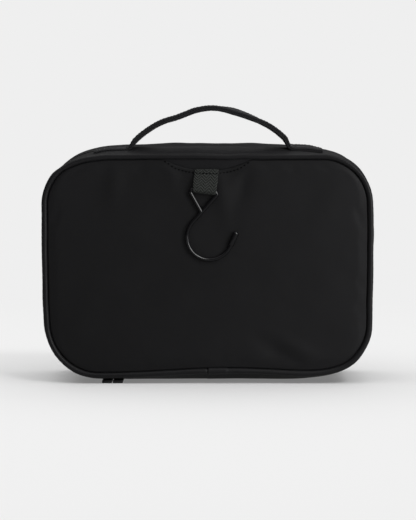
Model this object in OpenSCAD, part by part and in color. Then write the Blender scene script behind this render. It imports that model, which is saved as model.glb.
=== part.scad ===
// Hanging toiletry bag: two soft half shells joined by a zip round three sides and a fabric hinge
// along the bottom. X runs across the bag, Y through it (-Y is the back, with the hook), Z is up.
// The origin is on the floor, under the middle of the bag.

/* [Bag] */
// Width over the edge piping
bag_w = 280; // [230:1:340]
// Height over the edge piping
bag_h = 190; // [155:1:240]
// Depth from back panel to front panel
bag_d = 90; // [75:1:120]
// Corner radius of the outline
corner_r = 42; // [32:1:50]
// How far the gusset bulges past the piping
crown = 4.5; // [4:0.1:7]
// Distance of the zip plane in front of the middle
mouth_y = 3; // [0:1:8]

/* [Cloth] */
// Thickness of the outer cloth
cloth_t = 1; // [0.8:0.1:1.4]
// Thickness of the lining cloth
lining_t = 0.6; // [0.4:0.1:0.8]
// Thickness of the padding behind each panel
foam_t = 3; // [2:0.25:3.5]
// Air left between layers
layer_gap = 0.3; // [0.2:0.05:0.4]

/* [Piping] */
// Outside diameter of the piping
piping_d = 4.8; // [4:0.1:5]
// Diameter of the cord inside the piping
cord_d = 3; // [2.4:0.1:3.4]

/* [Zip] */
// Width of each zip tape outside the teeth
tape_w = 14; // [11:1:16]
// Thickness of the zip tape
tape_t = 0.8; // [0.6:0.1:0.9]
// Height of the coil teeth
teeth_t = 1.8; // [1.6:0.1:2]
// Width of cloth left open beside the teeth
zip_gap = 7; // [6.5:0.25:9]
// Length of each main slider
slider_l = 9; // [8:0.5:11]
// Width of each main slider
slider_w = 9; // [8:0.5:10]
// Length of each main puller
puller_l = 46; // [38:1:48]
// Width of each main puller
puller_w = 8.4; // [7:0.1:8.6]

/* [Handle] */
// Width of the handle webbing
handle_w = 22; // [18:1:25]
// Thickness of the doubled handle webbing
handle_t = 4.5; // [3.5:0.1:5]
// Distance between the feet of the handle
handle_span = 137; // [110:1:150]
// Rise of the handle above the top of the bag
handle_h = 36.5; // [28:0.5:50]
// Sideways place of the handle
handle_x = 2; // [-4:1:4]
// Distance of the handle from the back panel
handle_in = 18; // [16:1:22]
// Length of each sewn end
handle_end_l = 30; // [20:1:32]

/* [Hook] */
// Diameter of the hook wire
wire_d = 3.2; // [2.6:0.1:4]
// Radius of the hook's bend to the middle of the wire
bend_r = 19; // [15:0.5:22]
// Width of the webbing tab
tab_w = 21; // [16:1:24]
// Length of the tab from its stitching to the middle of the wire
tab_l = 14; // [12:0.5:20]
// Thickness of the tab webbing
tab_t = 1.2; // [1:0.1:1.6]
// Distance of the tab's stitching below the outline's top
tab_drop = 17; // [14:0.5:20]
// Sideways tilt of the hook as it hangs, in degrees
hook_tilt = 6; // [0:1:8]
// Sideways place of the tab
tab_x = -2; // [-4:0.5:4]

/* [Pockets] */
// Width of the hook pocket's mouth
mouth_w = 72; // [60:1:90]
// Depth of the scoop in the hook pocket's mouth
mouth_dip = 9; // [6:0.5:12]
// Height of the mesh pockets
mesh_h = 104; // [70:1:120]
// Thickness of the mesh
mesh_t = 0.6; // [0.4:0.1:0.8]
// Height of the elastic along a mesh pocket's top
elastic_h = 8; // [6:1:12]

/* [Hidden] */
$fn = 48;

back = 1;
front = -1;
slip = 0.05; // radial clearance of a running fit
clear = 0.3; // clearance between bodies
outline_z = crown + bag_h / 2;
half_x = bag_w / 2 - corner_r;
half_z = bag_h / 2 - corner_r;

// Layers, each measured inwards from a panel's outer face
facing_v = cloth_t + layer_gap;
foam_v = facing_v + lining_t + layer_gap;
lining_v = foam_v + foam_t + layer_gap;
inside_v = lining_v + lining_t + layer_gap;

// Offsets from the outline, positive outwards
piping_r = piping_d / 2;
piping_v = piping_r / 3;
panel_u = -piping_d - 0.1;
seam_t = 0.8;
seam_l = 3;
inner_u = -piping_r - seam_t - layer_gap;
gusset_start_u = -piping_r / 1.5;
gusset_start_v = piping_v + piping_r;
zip_u = 0.2; // the tape's outer face lies this far outside the outline
gusset_lining_u = zip_u - tape_t - layer_gap;
binding_l = 3;
binding_t = 1.5;

// Zip
teeth_w = 1.7;
fold_l = 5;
fold_drop = crown - zip_u - layer_gap;
mesh_in = 7; // distance of a mesh pocket inside the zip plane
crest_v = 20; // where the bulge reaches its crest
tape_in = tape_w - zip_gap;
plate_t = 1.2;
slider_gap = 0.3;
pin_r = 0.5;
eye_r = 0.85;
pin_z = eye_r + slip;
puller_t = 1.6;
puller_z = 0.15;
tip_t = 2.5;
tip_l = 3;
dent_v = 6; // the dent's roof starts this far from the back panel
dent_top = puller_z + puller_t + clear;
ear_t = 1;
slider_travel = 8;
left_x = slider_l / 2 + slider_travel - half_x; // the sliders keep to the straight part of the bottom
right_x = left_x + slider_l + clear;
track = half_x + clear;
end_tab_l = 8;
end_tab_gap = 0.7;
hinge_l = -2 * (right_x + slider_l / 2 + end_tab_gap + end_tab_l / 2); // cloth hinge along the bottom

// Hook
bar_r = wire_d / 2;
loop_r = bar_r + 0.25;
loop_out_r = loop_r + tab_t;
hook_y = bag_d / 2 + clear + loop_out_r; // distance of the wire's plane from the middle
tab_z = outline_z + bag_h / 2 - tab_drop;
bar_z = tab_z - tab_l;
leg_slope = 1.43; // of the two legs, where they leave the bar
leg_room = loop_out_r / leg_slope + bar_r * sqrt(1 + pow(leg_slope, 2)) / leg_slope + clear;
bar_left = -14.9;
bar_right = 9.75;
leave_angle = 145; // where the straight shank leaves the bend
tip_angle = 342; // where the bend runs into the tip
tip_straight = 13.4;
cap_l = 12.5;
cap_r = bar_r + 0.8;
leg_r = bar_r - 0.05; // the straight legs run into the bar and the bend
tuck = 0.5; // how far they run in
knuckle_out = 0.05;
leg_gap = 1.75 * bar_r; // where the left leg ends, short of crossing the shank
cap_slip = 0.02;
stub_gap = 2; // gap above the tab's hinge line
shift_y = (hook_y + cap_r - bag_d / 2 + piping_v - piping_r) / 2; // puts the origin under the middle
shank_l = 34;
bend_x = bar_right - shank_l * sin(leave_angle) - bend_r * cos(leave_angle);
bend_z = bar_z - shank_l * -cos(leave_angle) - bend_r * sin(leave_angle);
cross_f = 0.65; // how far down the shank the left leg crosses it

// Handle
strap_steps = 24;
strap_power = 0.6;
crest_z = outline_z + bag_h / 2 + crown;
foot_r = handle_w / 2;
handle_z = crest_z + clear + foot_r;
handle_y = -bag_d / 2 + handle_in;
strap_half = handle_span / 2;
end_t = 2.4;

function level(v, side) = side * (bag_d / 2 - v);
function mouth_v(side) = bag_d / 2 + side * mouth_y - clear;
function mesh_v(side) = mouth_v(side) - mesh_in;

// A face of the gusset, t inside its outer one: out of the piping, up to the crest, and down beside the zip
function gusset_line(edge_v, t) = concat(
    [for (i = [0:6]) let (a = 15 * i) [
        gusset_start_u + (crown - t - gusset_start_u) * sin(a),
        gusset_start_v + t + (crest_v - gusset_start_v - t) * (1 - cos(a))
    ]],
    [for (i = [0:3]) let (a = 30 * i) [
        crown - t - (fold_drop - t) * (1 - cos(a)),
        edge_v - fold_l + (fold_l - t) * sin(a)
    ]]
);
function backwards(points) = [for (i = [len(points) - 1:-1:0]) points[i]];

module upright() {
    translate([0, shift_y, outline_z]) rotate([90, 0, 0]) children();
}

// Rounded rectangle at an offset from the outline
module outline(u) {
    r = corner_r + u;
    union() {
        square([2 * half_x + 2 * r, 2 * half_z], center = true);
        square([2 * half_x, 2 * half_z + 2 * r], center = true);
        for (x = [-half_x, half_x], z = [-half_z, half_z]) translate([x, z]) circle(r);
    }
}

// Carries a section all the way round the outline
module round_path() {
    for (x = [-1, 1], z = [-1, 1])
        translate([x * half_x, z * half_z, 0])
            rotate([0, 0, x > 0 ? (z > 0 ? 0 : 270) : (z > 0 ? 90 : 180)])
                rotate_extrude(angle = 90) translate([corner_r, 0]) children();
    for (a = [0, 180])
        rotate([0, 0, a]) translate([half_x + corner_r, half_z, 0])
            rotate([90, 0, 0]) linear_extrude(2 * half_z) children();
    for (a = [90, 270])
        rotate([0, 0, a]) translate([half_z + corner_r, half_x, 0])
            rotate([90, 0, 0]) linear_extrude(2 * half_x) children();
}

// A rectangular section of the sweep
module strip(u, v, du, dv, side) {
    translate([u, min(level(v, side), level(v + dv, side))]) square([du, dv]);
}

module sheet(u, v, t, side) {
    translate([0, 0, min(level(v, side), level(v + t, side))]) linear_extrude(t) outline(u);
}

module panel(side) {
    sheet(panel_u, 0, cloth_t, side);
}

module foam(side) {
    sheet(panel_u, foam_v, foam_t, side);
}

module lining(side) {
    sheet(inner_u - 2 * layer_gap, lining_v, lining_t, side);
}

module piping(side) {
    round_path() difference() {
        union() {
            translate([-piping_r, level(piping_v, side)]) circle(piping_r);
            strip(-piping_r - seam_t / 2, piping_v + piping_r / 2, seam_t, piping_r / 2 + seam_l, side);
        }
        translate([-piping_r, level(piping_v, side)]) circle(cord_d / 2 + slip);
    }
}

module piping_cord(side) {
    round_path() translate([-piping_r, level(piping_v, side)]) circle(cord_d / 2);
}

module binding(side) {
    round_path() strip(-piping_r - binding_t / 2, piping_v + piping_r + seam_l + slip, binding_t, binding_l, side);
}

module gusset(side) {
    edge_v = mouth_v(side) - zip_gap;
    outer = gusset_line(edge_v, 0);
    inner = backwards(gusset_line(edge_v, cloth_t));
    round_path() polygon([for (p = concat(outer, inner)) [p[0], level(p[1], side)]]);
}

module gusset_lining(side) {
    last_v = mouth_v(side) - zip_gap - tape_in / 2;
    round_path() strip(gusset_lining_u - lining_t, inside_v, lining_t, last_v - inside_v, side);
}

module tape(side) {
    first_v = mouth_v(side) - tape_w;
    round_path() strip(zip_u - tape_t, first_v, tape_t, tape_w - teeth_w - slip, side);
}

module teeth(side) {
    round_path() strip(zip_u - tape_t / 2 - teeth_t / 2, mouth_v(side) - teeth_w, teeth_t, teeth_w, side);
}

// The stretch of the bottom that is clear of zip, from left to right
module bottom_gap(left, right) {
    translate([left, -outline_z - crown, -bag_d]) cube([right - left, crown + corner_r / 2 + crown, 2 * bag_d]);
}

module mesh_sheet(v, t, low, high, side) {
    intersection() {
        sheet(gusset_lining_u - lining_t - layer_gap, v, t, side);
        translate([-bag_w / 2, low - bag_h / 2, -bag_d]) cube([bag_w, high - low, 2 * bag_d]);
    }
}

module back_panel() {
    scoop_r = (pow(mouth_w / 2, 2) + pow(mouth_dip, 2)) / (2 * mouth_dip);
    top = bag_h / 2 + panel_u;
    color("#1b1b1d") upright() difference() {
        panel(back);
        translate([0, top - mouth_dip + scoop_r, 0]) cylinder(h = bag_d, r = scoop_r, $fn = 120);
    }
}

module back_pocket_facing() {
    color("#161618") upright() sheet(panel_u, facing_v, lining_t, back);
}

module back_foam() {
    color("#55565a") upright() foam(back);
}

module back_lining() {
    color("#2c2d30") upright() lining(back);
}

module back_piping() {
    color("#1e1e20") upright() piping(back);
}

module back_piping_cord() {
    color("#d8d8d4") upright() piping_cord(back);
}

module back_binding() {
    color("#18181a") upright() binding(back);
}

// The gusset gives way around the two pullers that lie under it
module body_gusset() {
    dent_w = right_x - left_x + slider_travel + puller_w + 2 * clear;
    dent_x = left_x - slider_travel - puller_w / 2 - clear;
    color("#1b1b1d") difference() {
        union() {
            upright() gusset(back);
            translate([dent_x - cloth_t, shift_y - bag_d / 2 + dent_v, dent_top])
                cube([dent_w + 2 * cloth_t, mouth_v(back) - zip_gap - dent_v, cloth_t]);
        }
        translate([dent_x, shift_y - bag_d, -1]) cube([dent_w, bag_d + mouth_y - zip_gap / 2, dent_top + 1]);
    }
}

module body_gusset_lining() {
    color("#2c2d30") upright() gusset_lining(back);
}

module body_zip_tape() {
    color("#141416") upright() difference() {
        tape(back);
        bottom_gap(-hinge_l / 2, hinge_l / 2);
    }
}

module body_zip_teeth() {
    color("#0d0d0e") upright() difference() {
        teeth(back);
        bottom_gap(-hinge_l / 2, hinge_l / 2);
    }
}

module bottom_hinge() {
    color("#1b1b1d") upright() intersection() {
        round_path() strip(zip_u - tape_t, mouth_v(back) - tape_w, tape_t, tape_w, back);
        bottom_gap(-hinge_l / 2 + slip, hinge_l / 2 - slip);
    }
}

// Cloth tabs that cover the zip's two ends
module zip_end_tabs() {
    tab = [end_tab_l, zip_gap - 1, 1.2];
    top_z = crown - zip_u + tape_t / 2 - teeth_t / 2 - slip;
    color("#141416") for (side = [-1, 1])
        translate([side * hinge_l / 2 - tab[0] / 2, shift_y + mouth_y - clear - tab[1], top_z - tab[2]]) cube(tab);
}

module body_mesh_pocket() {
    color("#202124") upright() mesh_sheet(mesh_v(back), mesh_t, 0, mesh_h, back);
}

module body_pocket_elastic() {
    color("#0f0f10") upright() mesh_sheet(mesh_v(back) - mesh_t, 3 * mesh_t, mesh_h + slip, mesh_h + elastic_h, back);
}

// Centre line of the strap, as a share of its half span
function rise(f) = handle_h * pow(1 - f * f, strap_power);
function strap_point(f, t) = [strap_half * f - t * sin(70 * f), crest_z + clear + rise(f) - t * cos(70 * f)];

module handle_strap() {
    top = [for (i = [-strap_steps:strap_steps]) strap_point(sin(90 * i / strap_steps), 0)];
    under = [for (i = [-strap_steps:strap_steps]) strap_point(sin(90 * i / strap_steps), handle_t)];
    color("#141416") translate([handle_x, handle_y + shift_y, 0]) intersection() {
        rotate([90, 0, 0]) linear_extrude(handle_w, center = true) polygon(concat(top, backwards(under)));
        union() {
            translate([0, 0, handle_z + crest_z]) cube([handle_span + 2, handle_w, 2 * crest_z], center = true);
            translate([0, 0, handle_z]) rotate([0, 90, 0])
                cylinder(h = handle_span + 2, r = foot_r, center = true, $fn = 64);
        }
    }
}

module handle_end(side) {
    x = handle_x + side * (strap_half + clear + handle_end_l / 2);
    color("#141416") translate([x, handle_y + shift_y, crest_z + slip + end_t / 2])
        cube([handle_end_l, handle_w, end_t], center = true);
}

module handle_end_left() {
    handle_end(-1);
}

module handle_end_right() {
    handle_end(1);
}

// The hook's own frame: its bar lies along X, tilted a little sideways
module at_hook_bar() {
    translate([0, shift_y - hook_y, bar_z]) rotate([0, hook_tilt, 0]) children();
}

// The end that is sewn under the mouth of the hook pocket
module hook_tab_end() {
    end_l = 4;
    color("#17181a") translate([tab_x - tab_w / 2, shift_y - bag_d / 2 - tab_t - slip, tab_z + stub_gap])
        cube([tab_w, tab_t, end_l]);
}

// Doubled webbing that hangs from its stitching and folds round the hook's bar
module hook_tab() {
    low_z = tab_z - tab_l + loop_r;
    loop_left = max(tab_x - tab_w / 2, bar_left + leg_room);
    loop_right = min(tab_x + tab_w / 2, bar_right - leg_room);
    color("#17181a") difference() {
        union() {
            at_hook_bar() translate([loop_left, 0, 0]) rotate([0, 90, 0])
                cylinder(h = loop_right - loop_left, r = loop_out_r);
            translate([tab_x - tab_w / 2, shift_y - bag_d / 2 - clear - 2 * tab_t, low_z])
                cube([tab_w, 2 * tab_t, tab_z - low_z]);
            translate([tab_x, shift_y - bag_d / 2 - clear - tab_t, tab_z]) rotate([0, 90, 0])
                cylinder(h = tab_w, r = tab_t, center = true);
        }
        at_hook_bar() translate([tab_x, 0, 0]) rotate([0, 90, 0])
            cylinder(h = tab_w + 1, r = loop_r, center = true);
    }
}

// Straight wire between two points of the hook's plane
module wire(from, to, r) {
    angle = atan2(to[1] - from[1], to[0] - from[0]);
    translate([from[0], 0, from[1]]) rotate([0, 90 - angle, 0]) cylinder(h = norm(to - from), r = r);
}

// Rounds the outside of a sharp bend
module knuckle(at) {
    translate([at[0], 0, at[1]]) sphere(bar_r + knuckle_out);
}

bend = [bend_x, bend_z - bar_z];
shank_top = [bar_right, 0];
shank_foot = bend + bend_r * [cos(leave_angle), sin(leave_angle)];
eye_left = [bar_left, 0];
cross = shank_top + cross_f * (shank_foot - shank_top);
leg_end = cross + leg_gap * (eye_left - cross) / norm(eye_left - cross);
tip_way = [-sin(tip_angle), cos(tip_angle)];
tip_foot = bend + bend_r * [cos(tip_angle), sin(tip_angle)];
cap_foot = tip_foot + (tip_straight - cap_l) * tip_way;
cap_inner = cap_foot + (cap_l - cap_r) * tip_way;

module hook_wire() {
    color("#0b0b0c") at_hook_bar() {
        wire(eye_left, shank_top, bar_r);
        wire(eye_left, leg_end, leg_r);
        wire(shank_top, shank_foot + tuck * (shank_foot - shank_top) / shank_l, leg_r);
        knuckle(shank_top);
        knuckle(eye_left);
        translate([bend[0], 0, bend[1]]) rotate([90, 0, 0]) rotate([0, 0, leave_angle])
            rotate_extrude(angle = tip_angle - leave_angle, $fn = 64) translate([bend_r, 0]) circle(bar_r);
        wire(tip_foot - tuck * tip_way, cap_inner, leg_r);
    }
}

// Moulded sleeve, closed and rounded at its far end, that is pushed on to the tip
module hook_cap() {
    color("#141415") at_hook_bar() translate([cap_foot[0], 0, cap_foot[1]])
        rotate([0, 90 - atan2(tip_way[1], tip_way[0]), 0]) rotate_extrude() difference() {
            union() {
                square([cap_r, cap_l - cap_r]);
                intersection() {
                    translate([0, cap_l - cap_r]) circle(cap_r);
                    square([cap_r, cap_l]);
                }
            }
            square([leg_r + cap_slip, cap_l - cap_r + cap_slip]);
        }
}

// Slider: two plates round the teeth, a wedge between them, and two ears with a pin below
module main_slider(x) {
    tape_z = crown - zip_u + tape_t / 2;
    low_z = tape_z - teeth_t / 2 - slider_gap;
    high_z = tape_z + teeth_t / 2 + slider_gap;
    wedge = 2;
    color("#101012") translate([x, shift_y + mouth_y, 0]) {
        translate([-slider_l / 2, -slider_w / 2, low_z - plate_t]) cube([slider_l, slider_w, plate_t]);
        translate([-slider_l / 2, -slider_w / 2, high_z]) cube([slider_l, slider_w, plate_t]);
        translate([-slider_l / 2, clear, low_z]) cube([wedge, wedge, high_z - low_z]);
        for (side = [-1, 1]) translate([side * (slider_l / 2 - ear_t / 2) - ear_t / 2, -pin_r - slip, puller_z])
            cube([ear_t, 2 * pin_r + 2 * slip, low_z - plate_t - puller_z]);
        translate([-slider_l / 2, 0, pin_z]) rotate([0, 90, 0]) cylinder(h = slider_l, r = pin_r);
    }
}

module main_puller(x) {
    eye_w = slider_l - 2 * ear_t - 2 * clear;
    neck = 4;
    color("#17181a") translate([x, shift_y + mouth_y, 0]) difference() {
        union() {
            translate([-eye_w / 2, 0, pin_z]) rotate([0, 90, 0]) cylinder(h = eye_w, r = eye_r);
            translate([-eye_w / 2, -neck, puller_z]) cube([eye_w, neck, puller_t - pin_r / 2]);
            translate([-puller_w / 2, -puller_l, puller_z]) cube([puller_w, puller_l - neck, puller_t]);
            translate([-puller_w / 2, -puller_l, puller_z]) cube([puller_w, tip_l, tip_t]);
        }
        translate([-slider_l, 0, pin_z]) rotate([0, 90, 0]) cylinder(h = 2 * slider_l, r = pin_r + slip);
    }
}

module main_slider_left() {
    main_slider(left_x);
}

module main_slider_right() {
    main_slider(right_x);
}

module main_puller_left() {
    main_puller(left_x);
}

module main_puller_right() {
    main_puller(right_x);
}

module front_panel() {
    color("#1b1b1d") upright() panel(front);
}

module front_foam() {
    color("#55565a") upright() foam(front);
}

module front_lining() {
    color("#2c2d30") upright() lining(front);
}

module front_piping() {
    color("#1e1e20") upright() piping(front);
}

module front_piping_cord() {
    color("#d8d8d4") upright() piping_cord(front);
}

module front_binding() {
    color("#18181a") upright() binding(front);
}

module lid_gusset() {
    color("#1b1b1d") upright() gusset(front);
}

module lid_gusset_lining() {
    color("#2c2d30") upright() gusset_lining(front);
}

// On the lid the zip stops short of the sliders' straight track
module lid_zip_tape() {
    color("#141416") upright() difference() {
        tape(front);
        bottom_gap(-track, hinge_l / 2);
    }
}

module lid_zip_teeth() {
    color("#0d0d0e") upright() difference() {
        teeth(front);
        bottom_gap(-track, hinge_l / 2);
    }
}

module lid_mesh_pocket() {
    color("#202124") upright() mesh_sheet(mesh_v(front), mesh_t, 0, mesh_h, front);
}

module lid_pocket_elastic() {
    color("#0f0f10") upright() mesh_sheet(mesh_v(front) - mesh_t, 3 * mesh_t, mesh_h + slip, mesh_h + elastic_h, front);
}

back_panel();
back_pocket_facing();
back_foam();
back_lining();
back_piping();
back_piping_cord();
back_binding();
body_gusset();
body_gusset_lining();
body_zip_tape();
body_zip_teeth();
bottom_hinge();
zip_end_tabs();
body_mesh_pocket();
body_pocket_elastic();
handle_strap();
handle_end_left();
handle_end_right();
hook_tab_end();
hook_tab();
hook_wire();
hook_cap();
main_slider_left();
main_slider_right();
main_puller_left();
main_puller_right();
front_panel();
front_foam();
front_lining();
front_piping();
front_piping_cord();
front_binding();
lid_gusset();
lid_gusset_lining();
lid_zip_tape();
lid_zip_teeth();
lid_mesh_pocket();
lid_pocket_elastic();
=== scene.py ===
import math

import bmesh
import bpy
import numpy as np
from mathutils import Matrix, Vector


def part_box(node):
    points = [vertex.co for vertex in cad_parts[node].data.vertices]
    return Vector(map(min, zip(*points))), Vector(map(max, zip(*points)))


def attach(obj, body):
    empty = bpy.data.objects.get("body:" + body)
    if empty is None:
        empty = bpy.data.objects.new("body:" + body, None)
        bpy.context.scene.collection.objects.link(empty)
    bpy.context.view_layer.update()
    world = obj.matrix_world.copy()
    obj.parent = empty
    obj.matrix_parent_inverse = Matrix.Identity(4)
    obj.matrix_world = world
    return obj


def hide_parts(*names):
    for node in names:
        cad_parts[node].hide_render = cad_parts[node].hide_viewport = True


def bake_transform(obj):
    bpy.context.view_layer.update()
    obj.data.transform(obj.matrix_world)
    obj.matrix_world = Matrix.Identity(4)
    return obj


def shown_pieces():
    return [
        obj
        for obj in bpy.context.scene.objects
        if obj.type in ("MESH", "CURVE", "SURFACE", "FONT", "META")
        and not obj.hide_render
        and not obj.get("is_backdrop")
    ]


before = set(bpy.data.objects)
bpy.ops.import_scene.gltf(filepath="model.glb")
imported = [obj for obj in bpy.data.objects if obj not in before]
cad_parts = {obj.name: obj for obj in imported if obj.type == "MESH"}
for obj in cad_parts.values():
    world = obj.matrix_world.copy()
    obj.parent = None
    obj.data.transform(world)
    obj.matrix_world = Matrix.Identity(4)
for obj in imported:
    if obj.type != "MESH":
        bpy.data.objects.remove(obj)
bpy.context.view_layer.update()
print("frame loaded")

mm = 0.001
back, front = 1, -1

# the bag's own frame, in millimetres
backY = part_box("back_panel")[0].y / mm
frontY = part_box("front_panel")[1].y / mm
zipY = (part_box("body_zip_teeth")[1].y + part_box("lid_zip_teeth")[0].y) / 2 / mm
pipingLow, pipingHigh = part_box("back_piping")
bag = {
    "halfWidth": pipingHigh.x / mm,
    "bottom": pipingLow.z / mm,
    "top": pipingHigh.z / mm,
    "topRadius": 42,
    "bottomRadius": 46,
    "step": 2.0,  # distance between two stations of a sweep
    "pipingRadius": 2.4,
    "pipingDepth": 0.8,
    "clothThickness": 0.8,
}
sag = {  # how the standing bag settles
    "footTop": 78,  # above this height the changes at the foot have died out
    "archLift": 4.0,  # the near bottom edge stands off the floor in a long arch
    "archMiddle": 18,
    "archHalf": 105,
    "farArchLift": 1.6,
    "farArchHalf": 110,
    "endLift": 3.4,  # the bottom rises towards its two ends
    "endFrom": 74,
    "endTo": 116,
    "cornerLift": 2.0,  # the near right corner stands a little higher
    "cornerMiddle": 104,
    "cornerWidth": 17,
    "shoulderDrop": 2.2,  # the left shoulder hangs
    "pinch": 0.9,  # the sides draw in above and below their middle
    "pinchLowRight": 0.3,
    "dimple": 0.8,  # under the handle's middle
    "uneven": 0.35,
}


def smoothStep(value, low, high):
    t = np.clip((np.asarray(value, float) - low) / (high - low), 0, 1)
    return t * t * (3 - 2 * t)


def ripple(a, b, seed, wave=40.0, octaves=4):  # soft seeded noise in two coordinates, about -1 to 1
    draw = np.random.default_rng(seed)
    total = np.zeros(np.broadcast(a, b).shape)
    for octave in range(octaves):
        for _ in range(3):
            turn, phase = draw.uniform(0, 2 * math.pi, 2)
            size = wave / 1.7**octave
            along = a * math.cos(turn) + b * math.sin(turn)
            total += np.sin(along * 2 * math.pi / size + phase) / 1.6**octave
    return total / 4.5


# outline: stations walked round the bag
def walkOutline(step, extra=()):
    w, low, high = bag["halfWidth"], bag["bottom"], bag["top"]
    rt, rb = bag["topRadius"], bag["bottomRadius"]
    parts = [
        ("line", 0, low, 1, 0, w - rb),
        ("arc", w - rb, low + rb, rb, -90),
        ("line", w, low + rb, 0, 1, high - low - rb - rt),
        ("arc", w - rt, high - rt, rt, 0),
        ("line", w - rt, high, -1, 0, 2 * (w - rt)),
        ("arc", rt - w, high - rt, rt, 90),
        ("line", -w, high - rt, 0, -1, high - low - rb - rt),
        ("arc", rb - w, low + rb, rb, 180),
        ("line", rb - w, low, 1, 0, w - rb),
    ]
    sizes = [p[5] if p[0] == "line" else math.pi / 2 * p[3] for p in parts]
    total = sum(sizes)
    even = np.linspace(0, total, int(total / step), endpoint=False)
    s = np.unique(np.concatenate([even, np.array(extra) % total]))
    s = s[np.concatenate([[True], np.diff(s) > 0.05])]
    x, z, nx, nz = (np.zeros(len(s)) for _ in range(4))
    done = 0
    for part, size in zip(parts, sizes):
        here = (s >= done) & (s <= done + size)
        along = s[here] - done
        if part[0] == "line":
            x[here], z[here] = part[1] + part[3] * along, part[2] + part[4] * along
            nx[here], nz[here] = part[4], -part[3]
        else:
            angle = np.radians(part[4]) + along / part[3]
            nx[here], nz[here] = np.cos(angle), np.sin(angle)
            x[here], z[here] = part[1] + part[3] * nx[here], part[2] + part[3] * nz[here]
        done += size
    return {"s": s, "x": x, "z": z, "nx": nx, "nz": nz, "total": total}


joinStations = [-0.6, -0.2, 0.15, 0.5, 0.9, 1.4, 15.5, 16.2, 17, 18]
ring = walkOutline(bag["step"], joinStations)
topMiddle = (
    bag["halfWidth"] - bag["bottomRadius"]
    + math.pi / 2 * bag["bottomRadius"]
    + bag["top"] - bag["bottom"] - bag["bottomRadius"] - bag["topRadius"]
    + math.pi / 2 * bag["topRadius"]
    + bag["halfWidth"] - bag["topRadius"]
)  # arc length from the bottom's middle to the top's middle


def atStation(s, values):  # a ring's value at any arc length
    total = ring["total"]
    stations = np.append(ring["s"], total)
    return np.interp(np.asarray(s, float) % total, stations, np.append(values, values[0]))


def depthY(v, side):  # v is the depth behind the side's own panel
    return backY + v if side == back else frontY - v


def slump(points):  # moves points of the plain shape to where the settled bag has them
    p = np.array(points, float)
    x, y, z = p[:, 0].copy(), p[:, 1].copy(), p[:, 2].copy()
    v = y - backY
    low = 1 - smoothStep(z, 6, sag["footTop"])
    across = np.clip((x - sag["archMiddle"]) / sag["archHalf"], -1, 1)
    arch = sag["archLift"] * np.cos(math.pi / 2 * across) ** 2
    p[:, 2] += arch * low * (1 - smoothStep(v, 2, 21))
    across = np.clip(x / sag["farArchHalf"], -1, 1)
    arch = sag["farArchLift"] * np.cos(math.pi / 2 * across) ** 2
    p[:, 2] += arch * low * (1 - smoothStep(frontY - y, 2, 20))
    parking = smoothStep(-x, 62, 74) * (1 - smoothStep(-x, 106, 118)) * np.exp(-(((y - zipY) / 11) ** 2))
    rise = sag["endLift"] * smoothStep(np.abs(x + 4), sag["endFrom"], sag["endTo"]) ** 1.2
    rise = rise * (1 - parking)  # the zip stays level where the sliders run
    p[:, 2] += rise * low * smoothStep(v, 4, 24) * smoothStep(frontY - y, 2, 18)
    corner = sag["cornerLift"] * np.exp(-(((x - sag["cornerMiddle"]) / sag["cornerWidth"]) ** 2))
    p[:, 2] += corner * low * (1 - smoothStep(v, 4, 24))
    shoulder = sag["shoulderDrop"] * smoothStep(-x, 84, 108) * smoothStep(z, 176, 188)
    p[:, 2] -= shoulder * (1 - smoothStep(v, 20, 60))
    sideways = smoothStep(np.abs(x), 60, 138)
    pinch = np.where((x > 0) & (z < 122), sag["pinchLowRight"], sag["pinch"])
    p[:, 0] -= np.sign(x) * sideways * pinch * np.clip((z - 122) / 55, -1.7, 1.7) ** 2
    high = smoothStep(z, 170, 193)
    p[:, 2] -= sag["dimple"] * high * np.exp(-(((x - 16) / 10) ** 2)) * (1 - smoothStep(v, 1, 14))
    p[:, 2] += sag["uneven"] * high * ripple(x, y, 3, 60)
    p[:, 0] += sag["uneven"] * sideways * ripple(z, y, 4, 60)
    return p


crestHeights = {  # along the top, its droop to the sides, share of the corners' fall, flank, bottom
    "near": (6.0, 1.4, 0.7, 1.3, 3.1),
    "far": (9.4, 2.2, 0.8, 1.5, 4.5),
    "tape": (4.9, 1.4, 0.6, 0.2, 0.2),
}


def crestLine(which):  # how far a gusset or the tape stands out from the outline at each station
    onTop, sink, share, onFlank, onBottom = crestHeights[which]
    x = ring["x"]
    top = np.clip(ring["nz"], 0, 1) ** 2
    bottom = np.clip(-ring["nz"], 0, 1) ** 2
    flank = ring["nx"] ** 2
    droop = (x / 91) ** 2
    fall = 3.6 * smoothStep(-x, 83, 110)
    fall = fall + 3.2 * smoothStep(x, 84, 100) * (1 - 0.6 * smoothStep(x, 106, 122))
    return top * (onTop - sink * droop - share * fall) + flank * onFlank + bottom * onBottom


nearCrest = crestLine("near")
farCrest = crestLine("far")
tapeLevel = crestLine("tape")


# making meshes
def newPiece(name, points, faces, uvs=None):
    mesh = bpy.data.meshes.new(name)
    mesh.from_pydata((np.asarray(points) * mm).tolist(), [], [list(f) for f in faces])
    if uvs is not None:
        layer = mesh.uv_layers.new(name="threads")
        layer.data.foreach_set("uv", (np.asarray(uvs, float) * mm).ravel())
    mesh.polygons.foreach_set("use_smooth", [True] * len(mesh.polygons))
    obj = bpy.data.objects.new(name, mesh)
    bpy.context.scene.collection.objects.link(obj)
    return obj


def faceOutwards(obj):
    work = bmesh.new()
    work.from_mesh(obj.data)
    bmesh.ops.recalc_face_normals(work, faces=work.faces)
    work.to_mesh(obj.data)
    work.free()
    obj.data.update()
    return obj


def lengthRound(section):  # how far round a closed section each of its corners lies
    steps = np.diff(np.vstack([section, section[:1]]), axis=0)
    return np.concatenate([[0], np.cumsum(np.linalg.norm(steps, axis=1))])


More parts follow.
